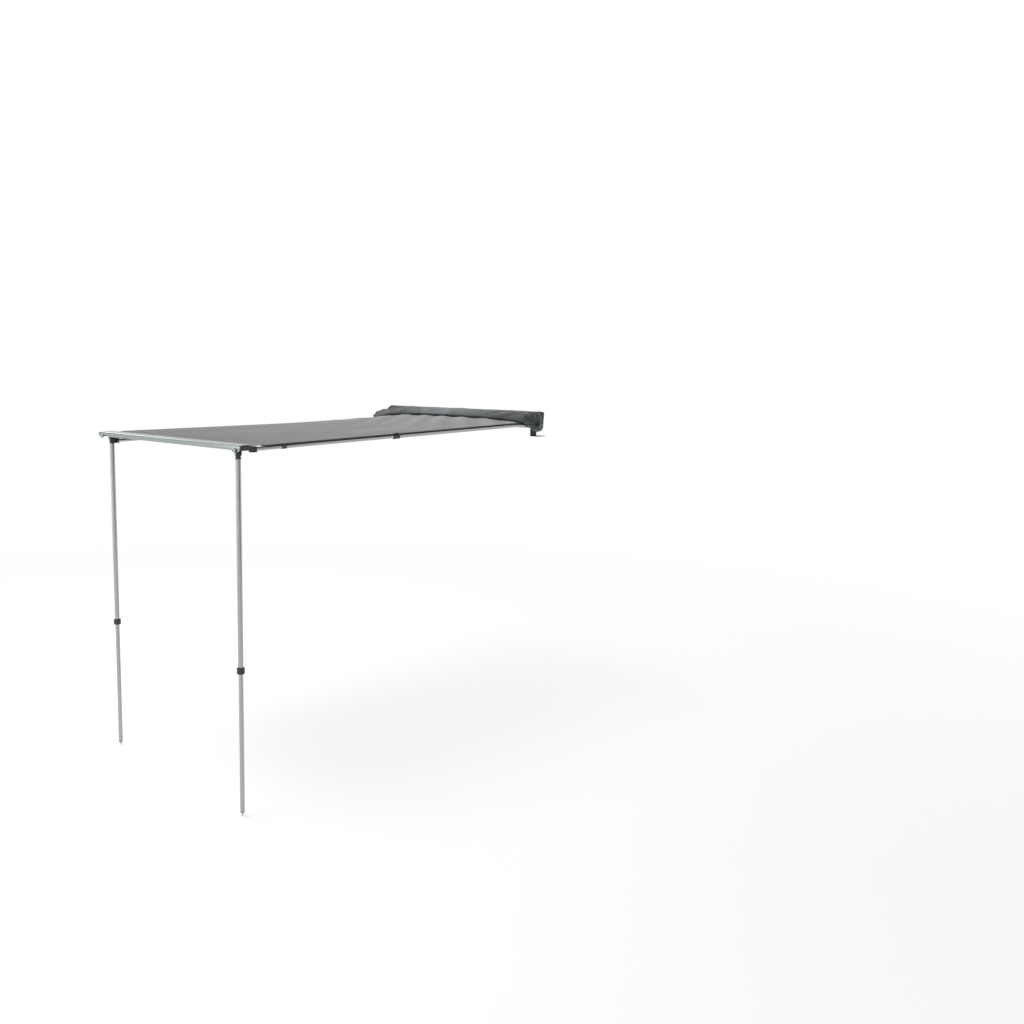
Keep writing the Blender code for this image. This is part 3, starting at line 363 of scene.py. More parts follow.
def painted(mesh, tone):
    """The tone at each point, from 0, dark, to 1, pale, kept on the mesh for its finish to read."""
    layer = mesh.attributes.new("tone", "FLOAT", "POINT")
    layer.data.foreach_set("value", np.broadcast_to(tone, len(mesh.vertices)).astype(np.float32))
    return mesh


def grid_mesh(name, points, around=False, along=False, caps=False, uv=None, facing=None, tone=None):
    """A mesh on a grid of points, rows by columns.

    around joins the last column to the first, along joins the last row to the first, and caps closes the
    first and the last row with a face each. uv is a grid with one more column or row where that way is
    joined. facing is the direction that an open sheet's faces point to, and tone is a grid of tones.
    """
    rows, columns = points.shape[:2]
    index = np.arange(rows * columns).reshape(rows, columns)
    index = np.pad(index, ((0, int(along)), (0, int(around))), mode="wrap")
    faces = index.ravel()[grid_corners(*index.shape)].tolist()
    if caps:
        faces += [index[0, :columns].tolist(), index[rows - 1, :columns][::-1].tolist()]
    mesh = bpy.data.meshes.new(name)
    mesh.from_pydata(points.reshape(-1, 3).tolist(), [], faces)
    if uv is not None:
        corners = uv.reshape(-1, 2)[grid_corners(*uv.shape[:2])].reshape(-1, 2)
        spare = len(mesh.loops) - len(corners)
        layer = mesh.uv_layers.new(name="cloth")
        layer.data.foreach_set("uv", np.vstack([corners, np.zeros((spare, 2))]).ravel())
    if tone is not None:
        painted(mesh, tone.ravel())
    settle(mesh, facing)
    return mesh


def settle(mesh, facing=None):
    """Merged doubles and faces that point outwards, or towards facing on an open sheet."""
    work = bmesh.new()
    work.from_mesh(mesh)
    bmesh.ops.remove_doubles(work, verts=work.verts, dist=1e-6)
    bmesh.ops.recalc_face_normals(work, faces=work.faces)
    if facing is not None:
        total = sum((face.normal * face.calc_area() for face in work.faces), Vector())
        if total.dot(Vector(facing)) < 0:
            bmesh.ops.reverse_faces(work, faces=work.faces)
    work.to_mesh(mesh)
    work.free()


def lathe(name, outline, place, closed=False, ripple=None, segments=None):
    """An outline of (radius, height) turned about the Z axis of place.

    ripple is (count, depth, share of the depth on each row): the radius is less by depth times a raised
    cosine of count waves round the turn.
    """
    segments = segments or bpy.context.scene.awning_finish.segments
    outline = np.asarray(outline, float)
    turn = turns(segments)
    radius, height = (np.repeat(outline[:, k : k + 1], segments, axis=1) for k in (0, 1))
    if ripple:
        count, depth, share = ripple
        radius = radius - depth / 2 * (1 - np.cos(count * turn))[None] * np.asarray(share)[:, None]
    local = np.stack([radius * np.cos(turn), radius * np.sin(turn), height], -1)
    origin, axes = place
    around = np.linspace(0.0, 2 * np.pi * outline[:, 0].max(), segments + 1)
    uv = spread(around, run_along(outline, closed))
    return grid_mesh(name, local @ axes.T + origin, around=True, along=closed, caps=not closed, uv=uv)


def sweep(name, path, side, up, outline, closed=False):
    """An outline of (across, above) carried along a path. side and up are one direction, or one per point."""
    outline = np.asarray(outline, float)
    path, side, up = np.broadcast_arrays(path, side, up)
    points = path[:, None] + outline[None, :, :1] * side[:, None] + outline[None, :, 1:] * up[:, None]
    uv = spread(run_along(outline, True), run_along(path, closed))
    return grid_mesh(name, points, around=True, along=closed, caps=not closed, uv=uv)


def pebble(length, width, height):
    """The points and faces of a small block that narrows to both ends, as a stitch or a zip tooth does."""
    stations = ((-0.5, 0.45), (-0.3, 1.0), (0.3, 1.0), (0.5, 0.45))
    ring = ((-0.5, -0.5), (0.5, -0.5), (0.5, 0.5), (-0.5, 0.5))
    points = np.array([(s * length, w * k * width, h * k * height) for s, k in stations for w, h in ring])
    index = np.arange(16).reshape(4, 4)
    sides = np.hstack([index, index[:, :1]]).ravel()[grid_corners(4, 5)]
    return points, np.vstack([sides, index[:1], index[3:, ::-1]])


def repeated(name, block, origins, axes):
    """Copies of a small block of points and faces, one at each origin, turned by the three axes there."""
    shape, faces = block
    points = origins[:, None] + np.einsum("pk,nck->npc", shape, axes)
    offset = (np.arange(len(origins)) * len(shape))[:, None, None]
    mesh = bpy.data.meshes.new(name)
    mesh.from_pydata(points.reshape(-1, 3).tolist(), [], (faces[None] + offset).reshape(-1, 4).tolist())
    settle(mesh)
    return mesh


# Finishes


def connect(tree, value, socket):
    """The socket takes another node's output, or a plain value."""
    if isinstance(value, bpy.types.NodeSocket):
        tree.links.new(value, socket)
    else:
        socket.default_value = value


def add_node(tree, kind, settings=None, **inputs):
    """A node with its settings and inputs. An input is a value or an output, and i0 is the first socket."""
    node = tree.nodes.new(kind)
    for key, value in (settings or {}).items():
        setattr(node, key, value)
    for key, value in inputs.items():
        numbered = key[0] == "i" and key[1:].isdigit()
        connect(tree, value, node.inputs[int(key[1:]) if numbered else key])
    return node


def shade_of(colour, factor):
    """A lighter or darker colour, kept within what a surface can be."""
    return tuple(min(0.9, channel * factor) for channel in colour)


class Recipe:
    """A material under construction: its nodes, its shader and short calls to add and link nodes."""

    def __init__(self, name, colour, roughness, metallic=0.0, **sockets):
        self.material = bpy.data.materials.new(name)
        self.material.use_nodes = True
        self.tree = self.material.node_tree
        self.shader = self.tree.nodes["Principled BSDF"]
        self.colour = tuple(colour)
        values = {"Base Color": (*self.colour, 1.0), "Roughness": roughness, "Metallic": metallic, **sockets}
        for socket, value in values.items():
            self.shader.inputs[socket.replace("_", " ")].default_value = value

    def add(self, kind, settings=None, **inputs):
        """A node with its settings and inputs."""
        return add_node(self.tree, kind, settings, **inputs)

    def place(self, stretch=(1.0, 1.0, 1.0), uv=False, turn=0.0):
        """The object's own coordinates, or the cloth's, stretched and turned."""
        coordinates = self.add("ShaderNodeTexCoord").outputs["UV" if uv else "Object"]
        mapping = self.add("ShaderNodeMapping", Vector=coordinates, Scale=stretch, Rotation=(0.0, 0.0, turn))
        return mapping.outputs["Vector"]

    def noise(self, scale, detail=4.0, roughness=0.55, **place):
        """Soft noise on the object's own coordinates, or on those that place gives."""
        inputs = {"Vector": self.place(**place), "Scale": scale, "Detail": detail, "Roughness": roughness}
        return self.add("ShaderNodeTexNoise", **inputs).outputs[0]

    def bands(self, where, pitch, direction="X"):
        """Even waves across one direction, one for each pitch."""
        settings = {"wave_type": "BANDS", "bands_direction": direction, "wave_profile": "SIN"}
        scale = 2 * math.pi / 20.0 / pitch
        return self.add("ShaderNodeTexWave", settings, Vector=where, Scale=scale).outputs["Fac"]

    def math(self, operation, a, b):
        """Two values put together."""
        return self.add("ShaderNodeMath", {"operation": operation}, i0=a, i1=b).outputs[0]

    def weave(self, pitch):
        """Two sets of threads that cross, as the product of their waves."""
        cloth = self.place(uv=True)
        return self.math("MULTIPLY", self.bands(cloth, pitch, "X"), self.bands(cloth, pitch, "Y"))

    def span(self, value, low, high, from_low=0.3, from_high=0.7):
        """value from from_low to from_high stretched over low to high."""
        inputs = {"i1": from_low, "i2": from_high, "i3": low, "i4": high}
        return self.add("ShaderNodeMapRange", Value=value, **inputs).outputs[0]

    def tint(self, share, other):
        """The shader's colour, blended towards another by share."""
        base = self.shader.inputs["Base Color"]
        held = base.links[0].from_socket if base.is_linked else tuple(base.default_value)
        blend = self.add("ShaderNodeMix", {"data_type": "RGBA"}, Factor=share, i6=held, i7=(*other, 1.0))
        self.tree.links.new(blend.outputs[2], base)

    def blotch(self, value, other, most, low=0.3, high=0.7):
        """Another colour, from nothing where value is low to the share most where it is high."""
        self.tint(self.span(value, 0.0, most, low, high), other)

    def shade(self, value, factor, most, low=0.3, high=0.7):
        """The material's own colour times a factor, laid on as a blotch is."""
        self.blotch(value, shade_of(self.colour, factor), most, low, high)

    def toned(self, dark, pale):
        """The colour made darker or paler by factors, as far as the mesh's own tone lies from its middle; on
        the cloth that tone holds painted shade and painted highlights.
        """
        tone = self.add("ShaderNodeAttribute", {"attribute_name": "tone"}).outputs["Fac"]
        self.tint(self.span(tone, 1.0, 0.0, 0.0, 0.5), shade_of(self.colour, dark))
        self.shade(tone, pale, 1.0, 0.5, 1.0)

    def rough(self, value, low, high):
        """The roughness, from low to high with value."""
        self.tree.links.new(self.span(value, low, high), self.shader.inputs["Roughness"])

    def relief(self, height, depth, strength=1.0):
        """Bumps of the given depth in metres, on top of those already there."""
        normal = self.shader.inputs["Normal"]
        inputs = {"Height": height, "Distance": depth, "Strength": strength}
        if normal.is_linked:
            inputs["Normal"] = normal.links[0].from_socket
        self.tree.links.new(self.add("ShaderNodeBump", **inputs).outputs[0], normal)


def extruded_aluminium(name):
    """Anodised extrusion: die lines along its length, a soft cloud in the gloss and faint rubbed spots."""
    recipe = Recipe(name, bpy.context.scene.awning_finish.anodised, 0.30, 1.0)
    lines = recipe.noise(1.0, 2.0, stretch=(1.5, 500.0, 500.0))
    cloud = recipe.noise(9.0)
    recipe.shade(lines, 0.86, 0.30)
    recipe.shade(recipe.noise(5.0, 8.0, 0.7, stretch=(6.0, 60.0, 60.0)), 1.12, 0.25, 0.60, 0.78)
    gloss = recipe.math("ADD", recipe.math("MULTIPLY", cloud, 0.6), recipe.math("MULTIPLY", lines, 0.4))
    recipe.rough(gloss, 0.24, 0.42)
    recipe.relief(lines, 0.000008, 0.4)
    return recipe.material


def black_anodised(name):
    """Black anodised casting: a fine blasted grain and a soft cloud in the gloss."""
    recipe = Recipe(name, (0.050, 0.055, 0.056), 0.42, 1.0)
    cloud = recipe.noise(40.0)
    recipe.blotch(cloud, (0.032, 0.036, 0.037), 0.5)
    recipe.rough(cloud, 0.36, 0.52)
    recipe.relief(recipe.noise(1500.0, 2.0), 0.00003)
    return recipe.material


def tube_aluminium(name, axis):
    """Drawn tube: hairlines along axis, fine rings of rub where it slides and a soft cloud in the gloss."""

    def stretch(along, across):
        """One scale along the tube and another across it."""
        return tuple(along if letter == axis else across for letter in "XYZ")

    recipe = Recipe(name, bpy.context.scene.awning_finish.tube, 0.26, 1.0)
    lines = recipe.noise(1.0, 2.0, stretch=stretch(2.0, 420.0))
    recipe.shade(lines, 0.86, 0.16)
    recipe.shade(recipe.noise(1.0, 3.0, stretch=stretch(260.0, 10.0)), 0.80, 0.18, 0.62, 0.80)
    recipe.rough(recipe.noise(14.0), 0.25, 0.34)
    recipe.relief(lines, 0.000005, 0.3)
    return recipe.material


def moulded_plastic(name):
    """Glass-filled nylon: fine spark-eroded grain, cloudy gloss and pale rubbed specks."""
    recipe = Recipe(name, bpy.context.scene.awning_finish.plastic, 0.5, IOR=1.48)
    cloud = recipe.noise(60.0)
    recipe.shade(cloud, 1.7, 0.5)
    recipe.blotch(recipe.noise(420.0, 6.0, 0.7), (0.16, 0.17, 0.17), 0.35, 0.66, 0.80)
    recipe.rough(cloud, 0.40, 0.60)
    recipe.relief(recipe.noise(2600.0, 2.0), 0.00008)
    return recipe.material


def powder_coat(name):
    """Black powder coat on steel: orange peel, dust in the hollows and rubbed patches."""
    recipe = Recipe(name, bpy.context.scene.awning_finish.powder, 0.50, Specular_IOR_Level=0.28)
    dust = recipe.noise(35.0, 6.0)
    recipe.blotch(dust, (0.12, 0.12, 0.115), 0.35, 0.52, 0.80)
    recipe.rough(dust, 0.46, 0.62)
    recipe.relief(recipe.noise(900.0, 2.0), 0.00006)
    return recipe.material


def zinc_plate(name):
    """Bright zinc: small spangles that differ in tone and gloss, and a yellowish bloom."""
    recipe = Recipe(name, (0.58, 0.59, 0.57), 0.3, 1.0)
    spangle = recipe.add("ShaderNodeTexVoronoi", Vector=recipe.place(), Scale=900.0).outputs["Color"]
    tone = recipe.add("ShaderNodeSeparateColor", Color=spangle).outputs[0]
    recipe.blotch(tone, (0.42, 0.43, 0.43), 0.35, 0.0, 1.0)
    recipe.blotch(recipe.noise(120.0), (0.62, 0.58, 0.44), 0.3, 0.5, 0.8)
    recipe.rough(tone, 0.22, 0.42)
    return recipe.material


def canopy_cloth(name):
    """Coated ripstop: two yarn directions, a stouter yarn every 6 mm, faint mottling, stains and slubs."""
    gloss = {"Specular_IOR_Level": 0.22, "Sheen_Weight": 0.06, "Sheen_Roughness": 0.5}
    recipe = Recipe(name, bpy.context.scene.awning_canopy.cloth, 0.78, **gloss)
    cloth = recipe.place(uv=True)
    stout = recipe.math(
        "MAXIMUM", *(recipe.span(recipe.bands(cloth, 0.006, way), 0.0, 1.0, 0.88, 0.99) for way in "XY")
    )
    mottle = recipe.noise(3.2, 3.0, stretch=(1.0, 0.45, 1.0), uv=True)
    stain = recipe.noise(2.2, 2.0, stretch=(1.0, 2.6, 1.0), uv=True, turn=0.3)
    recipe.tint(recipe.math("MULTIPLY", stout, 0.16), shade_of(recipe.colour, 0.72))
    recipe.shade(mottle, 0.84, 0.30)
    recipe.blotch(stain, (0.235, 0.225, 0.185), 0.34, 0.55, 0.72)
    recipe.shade(recipe.noise(1.0, 2.0, stretch=(90.0, 900.0, 1.0), uv=True), 1.2, 0.10)
    # The tone holds painted shade and painted highlights along the pulls
    recipe.toned(0.58, 1.5)
    recipe.rough(mottle, 0.70, 0.86)
    recipe.relief(recipe.weave(0.0011), 0.00010, 0.6)
    recipe.relief(stout, 0.00012, 0.6)
    return recipe.material


def cover_cloth(name):
    """Coated tarpaulin: a coarse scrim under a soft gloss, pale patches and dust, and a tone with painted
    highlights on the crests and painted shade in the hollows.
    """
    gloss = {"Specular_IOR_Level": 0.5, "Coat_Weight": 0.12, "Coat_Roughness": 0.3}
    recipe = Recipe(name, bpy.context.scene.awning_cover.cloth, 0.46, **gloss)
    dust = recipe.noise(16.0, 6.0, 0.6, uv=True)
    pale_patch = recipe.noise(28.0, 7.0, 0.7, stretch=(1.0, 3.0, 1.0), uv=True)
    recipe.shade(dust, 0.62, 0.30)
    recipe.shade(pale_patch, 1.75, 0.30, 0.54, 0.74)
    # The tone holds painted shade in the hollows and painted highlights on the crests
    recipe.toned(0.24, 1.9)
    recipe.rough(dust, 0.38, 0.56)
    recipe.relief(recipe.weave(0.0014), 0.00012, 0.5)
    recipe.relief(recipe.noise(45.0, 5.0, 0.65, stretch=(1.0, 2.2, 1.0), uv=True, turn=0.5), 0.0012, 0.7)
    return recipe.material


def woven_webbing(name, colour):
    """Webbing: a herringbone of two slanted waves, with darker fuzz."""
    recipe = Recipe(name, colour, 0.82, Sheen_Weight=0.15, Sheen_Roughness=0.4, Specular_IOR_Level=0.3)
    left, right = (recipe.bands(recipe.place(uv=True, turn=turn), 0.0016) for turn in (0.7, -0.7))
    ribs = recipe.math("MAXIMUM", left, right)
    recipe.shade(ribs, 1.8, 0.45, 0.0, 1.0)
    recipe.shade(recipe.noise(700.0, 3.0), 0.6, 0.25)
    recipe.relief(ribs, 0.00018, 0.8)
    return recipe.material


def thread(name, colour):
    """Twisted sewing thread, with fine noise that darkens it as painted shade between its strands."""
    recipe = Recipe(name, colour, 0.6, Sheen_Weight=0.2)
    recipe.shade(recipe.noise(1800.0, 2.0), 0.6, 0.5)
    return recipe.material


# Each finish with its slot and what makes it
FINISHES = {
    "anodised_extrusion": ("aluminium", extruded_aluminium),
    "black_anodised": ("aluminium", black_anodised),
    "arm_tube_aluminium": ("aluminium", lambda name: tube_aluminium(name, "Y")),
    "leg_tube_aluminium": ("aluminium", lambda name: tube_aluminium(name, "Z")),
    "moulded_nylon": ("black_plastic", moulded_plastic),
    "black_powder_coat": ("black_steel", powder_coat),
    "zinc_plate": ("zinc_steel", zinc_plate),
    "canopy_ripstop": ("canopy_cloth", canopy_cloth),
    "cover_tarpaulin": ("cover_cloth", cover_cloth),
    "hem_webbing": ("webbing", lambda name: woven_webbing(name, bpy.context.scene.awning_canopy.webbing)),
    "strap_webbing": ("webbing", lambda name: woven_webbing(name, (0.115, 0.072, 0.066))),
    "black_webbing": ("webbing", lambda name: woven_webbing(name, (0.022, 0.024, 0.025))),
    "binding_webbing": ("webbing", lambda name: woven_webbing(name, (0.046, 0.054, 0.056))),
    "dark_thread": ("webbing", lambda name: thread(name, (0.06, 0.062, 0.064))),
    "grey_thread": ("webbing", lambda name: thread(name, (0.24, 0.245, 0.24))),
}


# Pieces


def linked(name, data):
    """A new object in the scene."""
    made = bpy.data.objects.new(name, data)
    bpy.context.scene.collection.objects.link(made)
    return made


def piece(mesh, finish, body, replaces=(), slot=None, sharp=0.7, wall=0.0):
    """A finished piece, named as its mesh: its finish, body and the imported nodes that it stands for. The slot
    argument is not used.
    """
    usual_slot, maker = FINISHES[finish]
    made = linked(mesh.name, mesh)
    mesh.materials.clear()
    mesh.materials.append(bpy.data.materials.get(finish) or maker(finish))
    mesh.shade_smooth()
    mesh.set_sharp_from_angle(angle=sharp)
    if wall:
        change = made.modifiers.new("Wall", "SOLIDIFY")
        change.thickness = wall
        change.offset = -1.0
        change.use_even_offset = True
    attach(made, body)
    if replaces:
        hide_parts(*replaces)
    return made


def refined(node, finish, body, edge):
    """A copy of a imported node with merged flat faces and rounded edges, which stands for it."""
    mesh = frame["nodes"][node].data.copy()
    mesh.name = node + "_finished"
    work = bmesh.new()
    work.from_mesh(mesh)
    bmesh.ops.remove_doubles(work, verts=work.verts, dist=1e-6)
    flat = {"verts": work.verts, "edges": work.edges}
    bmesh.ops.dissolve_limit(work, angle_limit=0.01, use_dissolve_boundaries=False, **flat)
    work.to_mesh(mesh)
    work.free()
    change = piece(mesh, finish, body, (node,), sharp=0.6).modifiers.new("Edges", "BEVEL")
    change.width = edge * bpy.context.scene.awning_finish.edges
    change.segments = 2
    change.limit_method = "ANGLE"
    change.angle_limit = math.radians(40)
    change.use_clamp_overlap = True


# Canopy


def canopy_y(v):
    """The place on the way out, for v from 0, rail, to 1, bar."""
    return CANOPY_REAR_Y - CANOPY_RUN * v


def arm_height(side, y):
    """The height of an arm's middle line at a place along it."""
    hinge = JOINTS["arm_swing_right" if side > 0 else "arm_swing_left"]["pos_m"]
    return hinge[2] + (y - hinge[1]) * ARM_SLOPE


def pull_waves(x, y):
    """Waves across a slanted line, one for each PULL_PITCH, that wander with x."""
    return np.sin(2 * np.pi * (0.755 * x - 0.655 * y) / PULL_PITCH + 1.3 * np.sin(5.0 * x))


def puckers(run, wander, waves, pitch, away, fade):
    """Short waves along an edge, one for each pitch, that wander and die off with the distance from it."""
    return np.sin(2 * np.pi * (run + wander * np.sin(waves * run)) / pitch) * np.exp(-away / fade)


def canopy_height(u, v, detail=1.0):
    """The height of the cloth's top face. u runs from -1, left, to 1, right, and v from 0, rail, to 1, bar.

    A straight fall from groove to groove, less a parabola for the sag. As the fourth power of u the right
    edge comes to lie on its arm and lifts over the collar, and the left edge hangs slack near the cover. On
    top of that, long folds fan out from the rail, diagonal pulls run in from the cover, short puckers stand
    along the bar, the rail and the hems, and a broad unevenness breaks the reflection. Everything eases to
    flat at the two grooves.
    """
    settings = bpy.context.scene.awning_canopy
    fall = RAIL_GROOVE_Z + CLOTH_RISE + (BAR_GROOVE_Z - RAIL_GROOVE_Z) * v
    middle = fall - settings.sag * 4.0 * v * (1.0 - v)
    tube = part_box("arm_outer_tube_right")[1][0] - JOINTS["arm_swing_right"]["pos_m"][0]
    from_collar = canopy_y(v) - JOINTS["arm_lock_right"]["pos_m"][1]
    over_collar = COLLAR_LIFT * np.exp(-((from_collar / 0.028) ** 4))
    right = arm_height(1, canopy_y(v)) + tube + over_collar + HEM_THICKNESS - HEM_PROUD
    left = middle - settings.left_edge_sag * smooth_step(v / 0.10) * np.maximum(1.0 - v, 0.0) ** 1.6
    edge = (np.where(u > 0.0, right, left) - middle) * np.abs(u) ** 4
    held = smooth_step((v - LIP_SHARE) / GROOVE_RAMP) * smooth_step((1.0 - LIP_SHARE - v) / GROOVE_RAMP)
    x, y = u * HALF_WIDTH, CANOPY_RUN * v
    inside = 1.0 - u**2
    folds = settings.fold_height * np.sin(7 * np.pi * (u + 0.35 * v)) * np.sin(np.pi * v) * inside
    pulls = settings.pull_height * pull_waves(x, y) * np.exp(-(((v - 0.16) / 0.15) ** 2)) * inside**0.5
    bar_puckers = puckers(x, 0.05, 9, 0.082, CANOPY_RUN - y, 0.09)
    rail_puckers = puckers(x, 0.04, 7, 0.067, y, 0.10)
    hem_puckers = puckers(y, 0.05, 6, 0.074, (1 - np.abs(u)) * HALF_WIDTH, 0.035) * (1 - np.abs(u) ** 24)
    broad = lattice_noise(x / 0.31 + 9.0, y / 0.42 + 4.0, 5) - 0.5
    fine = 0.0008 * bar_puckers + 0.0008 * rail_puckers + 0.0011 * hem_puckers + 0.0024 * broad * inside
    return middle + held * (detail * (folds + pulls + fine) + edge)


def canopy_sheet():
    """The cloth: canopy_height over a grid, whose rows lie closer near the grooves to draw the puckers well.

    Its tone falls from the cover to the bar, with painted shade and painted highlights in slanted bands
    that follow the pulls near the cover, and a soft cloud all over.
    """
    v = np.linspace(0.0, 1.0, CANOPY_GRID[0])
    v = v - 0.175 / (2 * np.pi) * np.sin(2 * np.pi * v)
    u = np.linspace(-1.0, 1.0, CANOPY_GRID[1])
    v, u = np.meshgrid(v, u, indexing="ij")
    x, y = u * (HALF_WIDTH - 0.0006), v * CANOPY_RUN
    points = np.stack([x, canopy_y(v), canopy_height(u, v)], -1)
    # Painted shade and painted highlights in slanted bands along the pulls
    painted_light_streaks = pull_waves(x, y) * np.exp(-(((v - 0.20) / 0.20) ** 2))
    cloud = lattice_noise(x / 0.19 + 3.0, y / 0.55 + 2.0, 17) - 0.5
    tone = np.clip(0.90 - 0.74 * v + 0.13 * painted_light_streaks + 0.18 * cloud, 0.0, 1.0)
    return grid_mesh("canopy_cloth", points, uv=np.stack([x, y], -1), facing=(0, 0, 1), tone=tone)


def shrinking(made):
    """Gives the cloth piece a mesh of its own."""
    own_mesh(made)


def hem_path(word, side):
    """The hem's middle line and its upward direction, from the cover to the bar."""
    low, high = low_high("canopy_hem_" + word)
    y = np.linspace(high[1] + HEM_TUCK, low[1] + HEM_SHORT, 260)
    v = (CANOPY_REAR_Y - y) / CANOPY_RUN
    inner = side * (1.0 - HEM_WIDTH / HALF_WIDTH)
    under = np.minimum(canopy_height(side, v, 0.0), canopy_height(inner, v, 0.0))
    path = np.stack([np.full_like(y, (low[0] + high[0]) / 2), y, under], -1)
    return path, np.cross(X_AXIS, -unit(np.gradient(path, axis=0)))


def stitches(name, path, normal, pitch, finish):
    """Stitches along a path: one small thread for each pitch, laid along it and pressed into the face."""
    run = run_along(path)
    places = np.arange(pitch, run[-1] - pitch, pitch)
    origin = read_at(places, run, path)
    ahead = unit(read_at(places + pitch / 4, run, path) - origin)
    up = read_at(places, run, normal)
    axes = np.stack([ahead, np.cross(up, ahead), up], 1)
    return piece(repeated(name, pebble(*STITCH_SIZE), origin, axes), finish, "root", sharp=1.2)


def bead_cord(node, body):
    """The bead in a groove: a cord with a slight twist, as a rope of three strands under cloth shows."""
    low, high = low_high(node)
    radius = (high[2] - low[2]) / 2
    x = np.linspace(low[0] + 0.0005, high[0] - 0.0005, 420)
    middle = (low + high) / 2 * (Y_AXIS + Z_AXIS) + x[:, None] * X_AXIS
    strands = 1.0 - 0.05 * (1.0 + np.cos(3 * turns(18)[None] + 2 * np.pi * x[:, None] / 0.03)) / 2
    ring = strands[..., None] * circle(radius, 18)[None]
    points = middle[:, None] + ring[..., :1] * Y_AXIS + ring[..., 1:] * Z_AXIS
    uv = spread(np.linspace(0, 2 * np.pi * radius, 19), x)
    piece(grid_mesh(node + "_cord", points, around=True, caps=True, uv=uv), "hem_webbing", body, (node,))


def arm_strap(word, side):
    """The tie round the arm: a band on a stadium-shaped path up to the hem, with its end folded over."""
    node = "edge_strap_" + word
    centre = JOINTS["arm_swing_" + word]["pos_m"][0]
    middle = arm_height(side, STRAP_Y)
    half = 0.0008
    high = low_high(node)[1]
    radius = high[0] - centre - half
    lift = max(high[2] - STRAP_WIDTH / 2 * ARM_SLOPE - middle - radius - half, 0.0)
    turn = turns(64)[:, None]
    along = -SLOPE_AXIS
    upright = np.cross(along, X_AXIS)
    upright *= np.sign(upright[2])
    origin = np.array([centre, STRAP_Y, middle])
    outward = np.cos(turn) * X_AXIS + np.sin(turn) * upright
    path = origin + radius * outward + np.where(np.sin(turn) > 0, lift, 0.0) * upright
    outline = box_outline(STRAP_WIDTH, 2 * half, 0.0006)
    band = sweep(node + "_band", path, along, outward, outline, closed=True)
    shrinking(piece(band, "strap_webbing", "root", (node,)))
    down = np.linspace(0.0, 1.0, 14)[:, None]
    out = side * (radius + 0.0017 + 0.0006 * np.sin(np.pi * down))
    face = origin + out * X_AXIS + (lift + 0.004 - 0.016 * down) * upright
    tab = sweep(node + "_tab", face, along, side * X_AXIS, box_outline(STRAP_WIDTH * 0.92, 0.0013, 0.0005))
    shrinking(piece(tab, "strap_webbing", "root"))


class AWNING_OT_canopy(bpy.types.Operator):
    """Make the canopy cloth, its stitched hems, the beads in the grooves and the ties round the arms"""

    bl_idname = "awning.canopy"
    bl_label = "Canopy"

    def execute(self, context):
        wall = context.scene.awning_canopy.thickness
        cloth = piece(canopy_sheet(), "canopy_ripstop", "root", ("canopy",), wall=wall)
        shrinking(cloth)
        outline = box_outline(HEM_WIDTH, HEM_THICKNESS, 0.0018) + (0.0, HEM_PROUD - HEM_THICKNESS / 2)
        for word, side in SIDES:
            node = "canopy_hem_" + word
            path, up = hem_path(word, side)
            hem = piece(sweep(node + "_binding", path, X_AXIS, up, outline), "hem_webbing", "root", (node,))
            shrinking(hem)
            for row, offset in HEM_ROWS:
                line = path + side * offset * X_AXIS + STITCH_LIFT * up
                shrinking(stitches(node + "_stitches_" + row, line, up, HEM_PITCH, "grey_thread"))
            arm_strap(word, side)
        bead_cord("canopy_bead_rail", "root")
        bead_cord("canopy_bead_bar", "bar")
        return {"FINISHED"}


# Cover


def cover_line(count):
    """The flap's line from its front lip over the crown to its rear edge, as (y, z): smooth cubic pieces."""
    front, back = FLAP_LOW[1], FLAP_HIGH[1]
    crown, rest = FLAP_HIGH[2] - 0.010, RAIL_HIGH[2] + 0.0026
    lip = float(canopy_height(0.0, LIP_SHARE_OF_FLAP)) + 0.0065
    knots = np.array(
        [
            (front + 0.0004, lip),
            (front + 0.0060, lip + 0.014),
            (front + 0.0270, crown - 0.020),
            (front * 0.66, crown - 0.0055),
            (front * 0.44, crown),
            (front * 0.24, crown + 0.0005),
            (RAIL_LOW[1] * 1.1, rest + 0.0020),
            (back * 0.40, rest - 0.0002),
            (back * 0.92, 0.040),
            (back, 0.025),
        ]
    )
    last = len(knots) - 1
    t = np.linspace(0.0, last, count)
    i = np.minimum(t.astype(int), last - 1)
    f = (t - i)[:, None]
    slopes = np.gradient(knots, axis=0)
    start, leave = 2 * f**3 - 3 * f**2 + 1, f**3 - 2 * f**2 + f
    end, arrive = -2 * f**3 + 3 * f**2, f**3 - f**2
    return start * knots[i] + leave * slopes[i] + end * knots[i + 1] + arrive * slopes[i + 1]


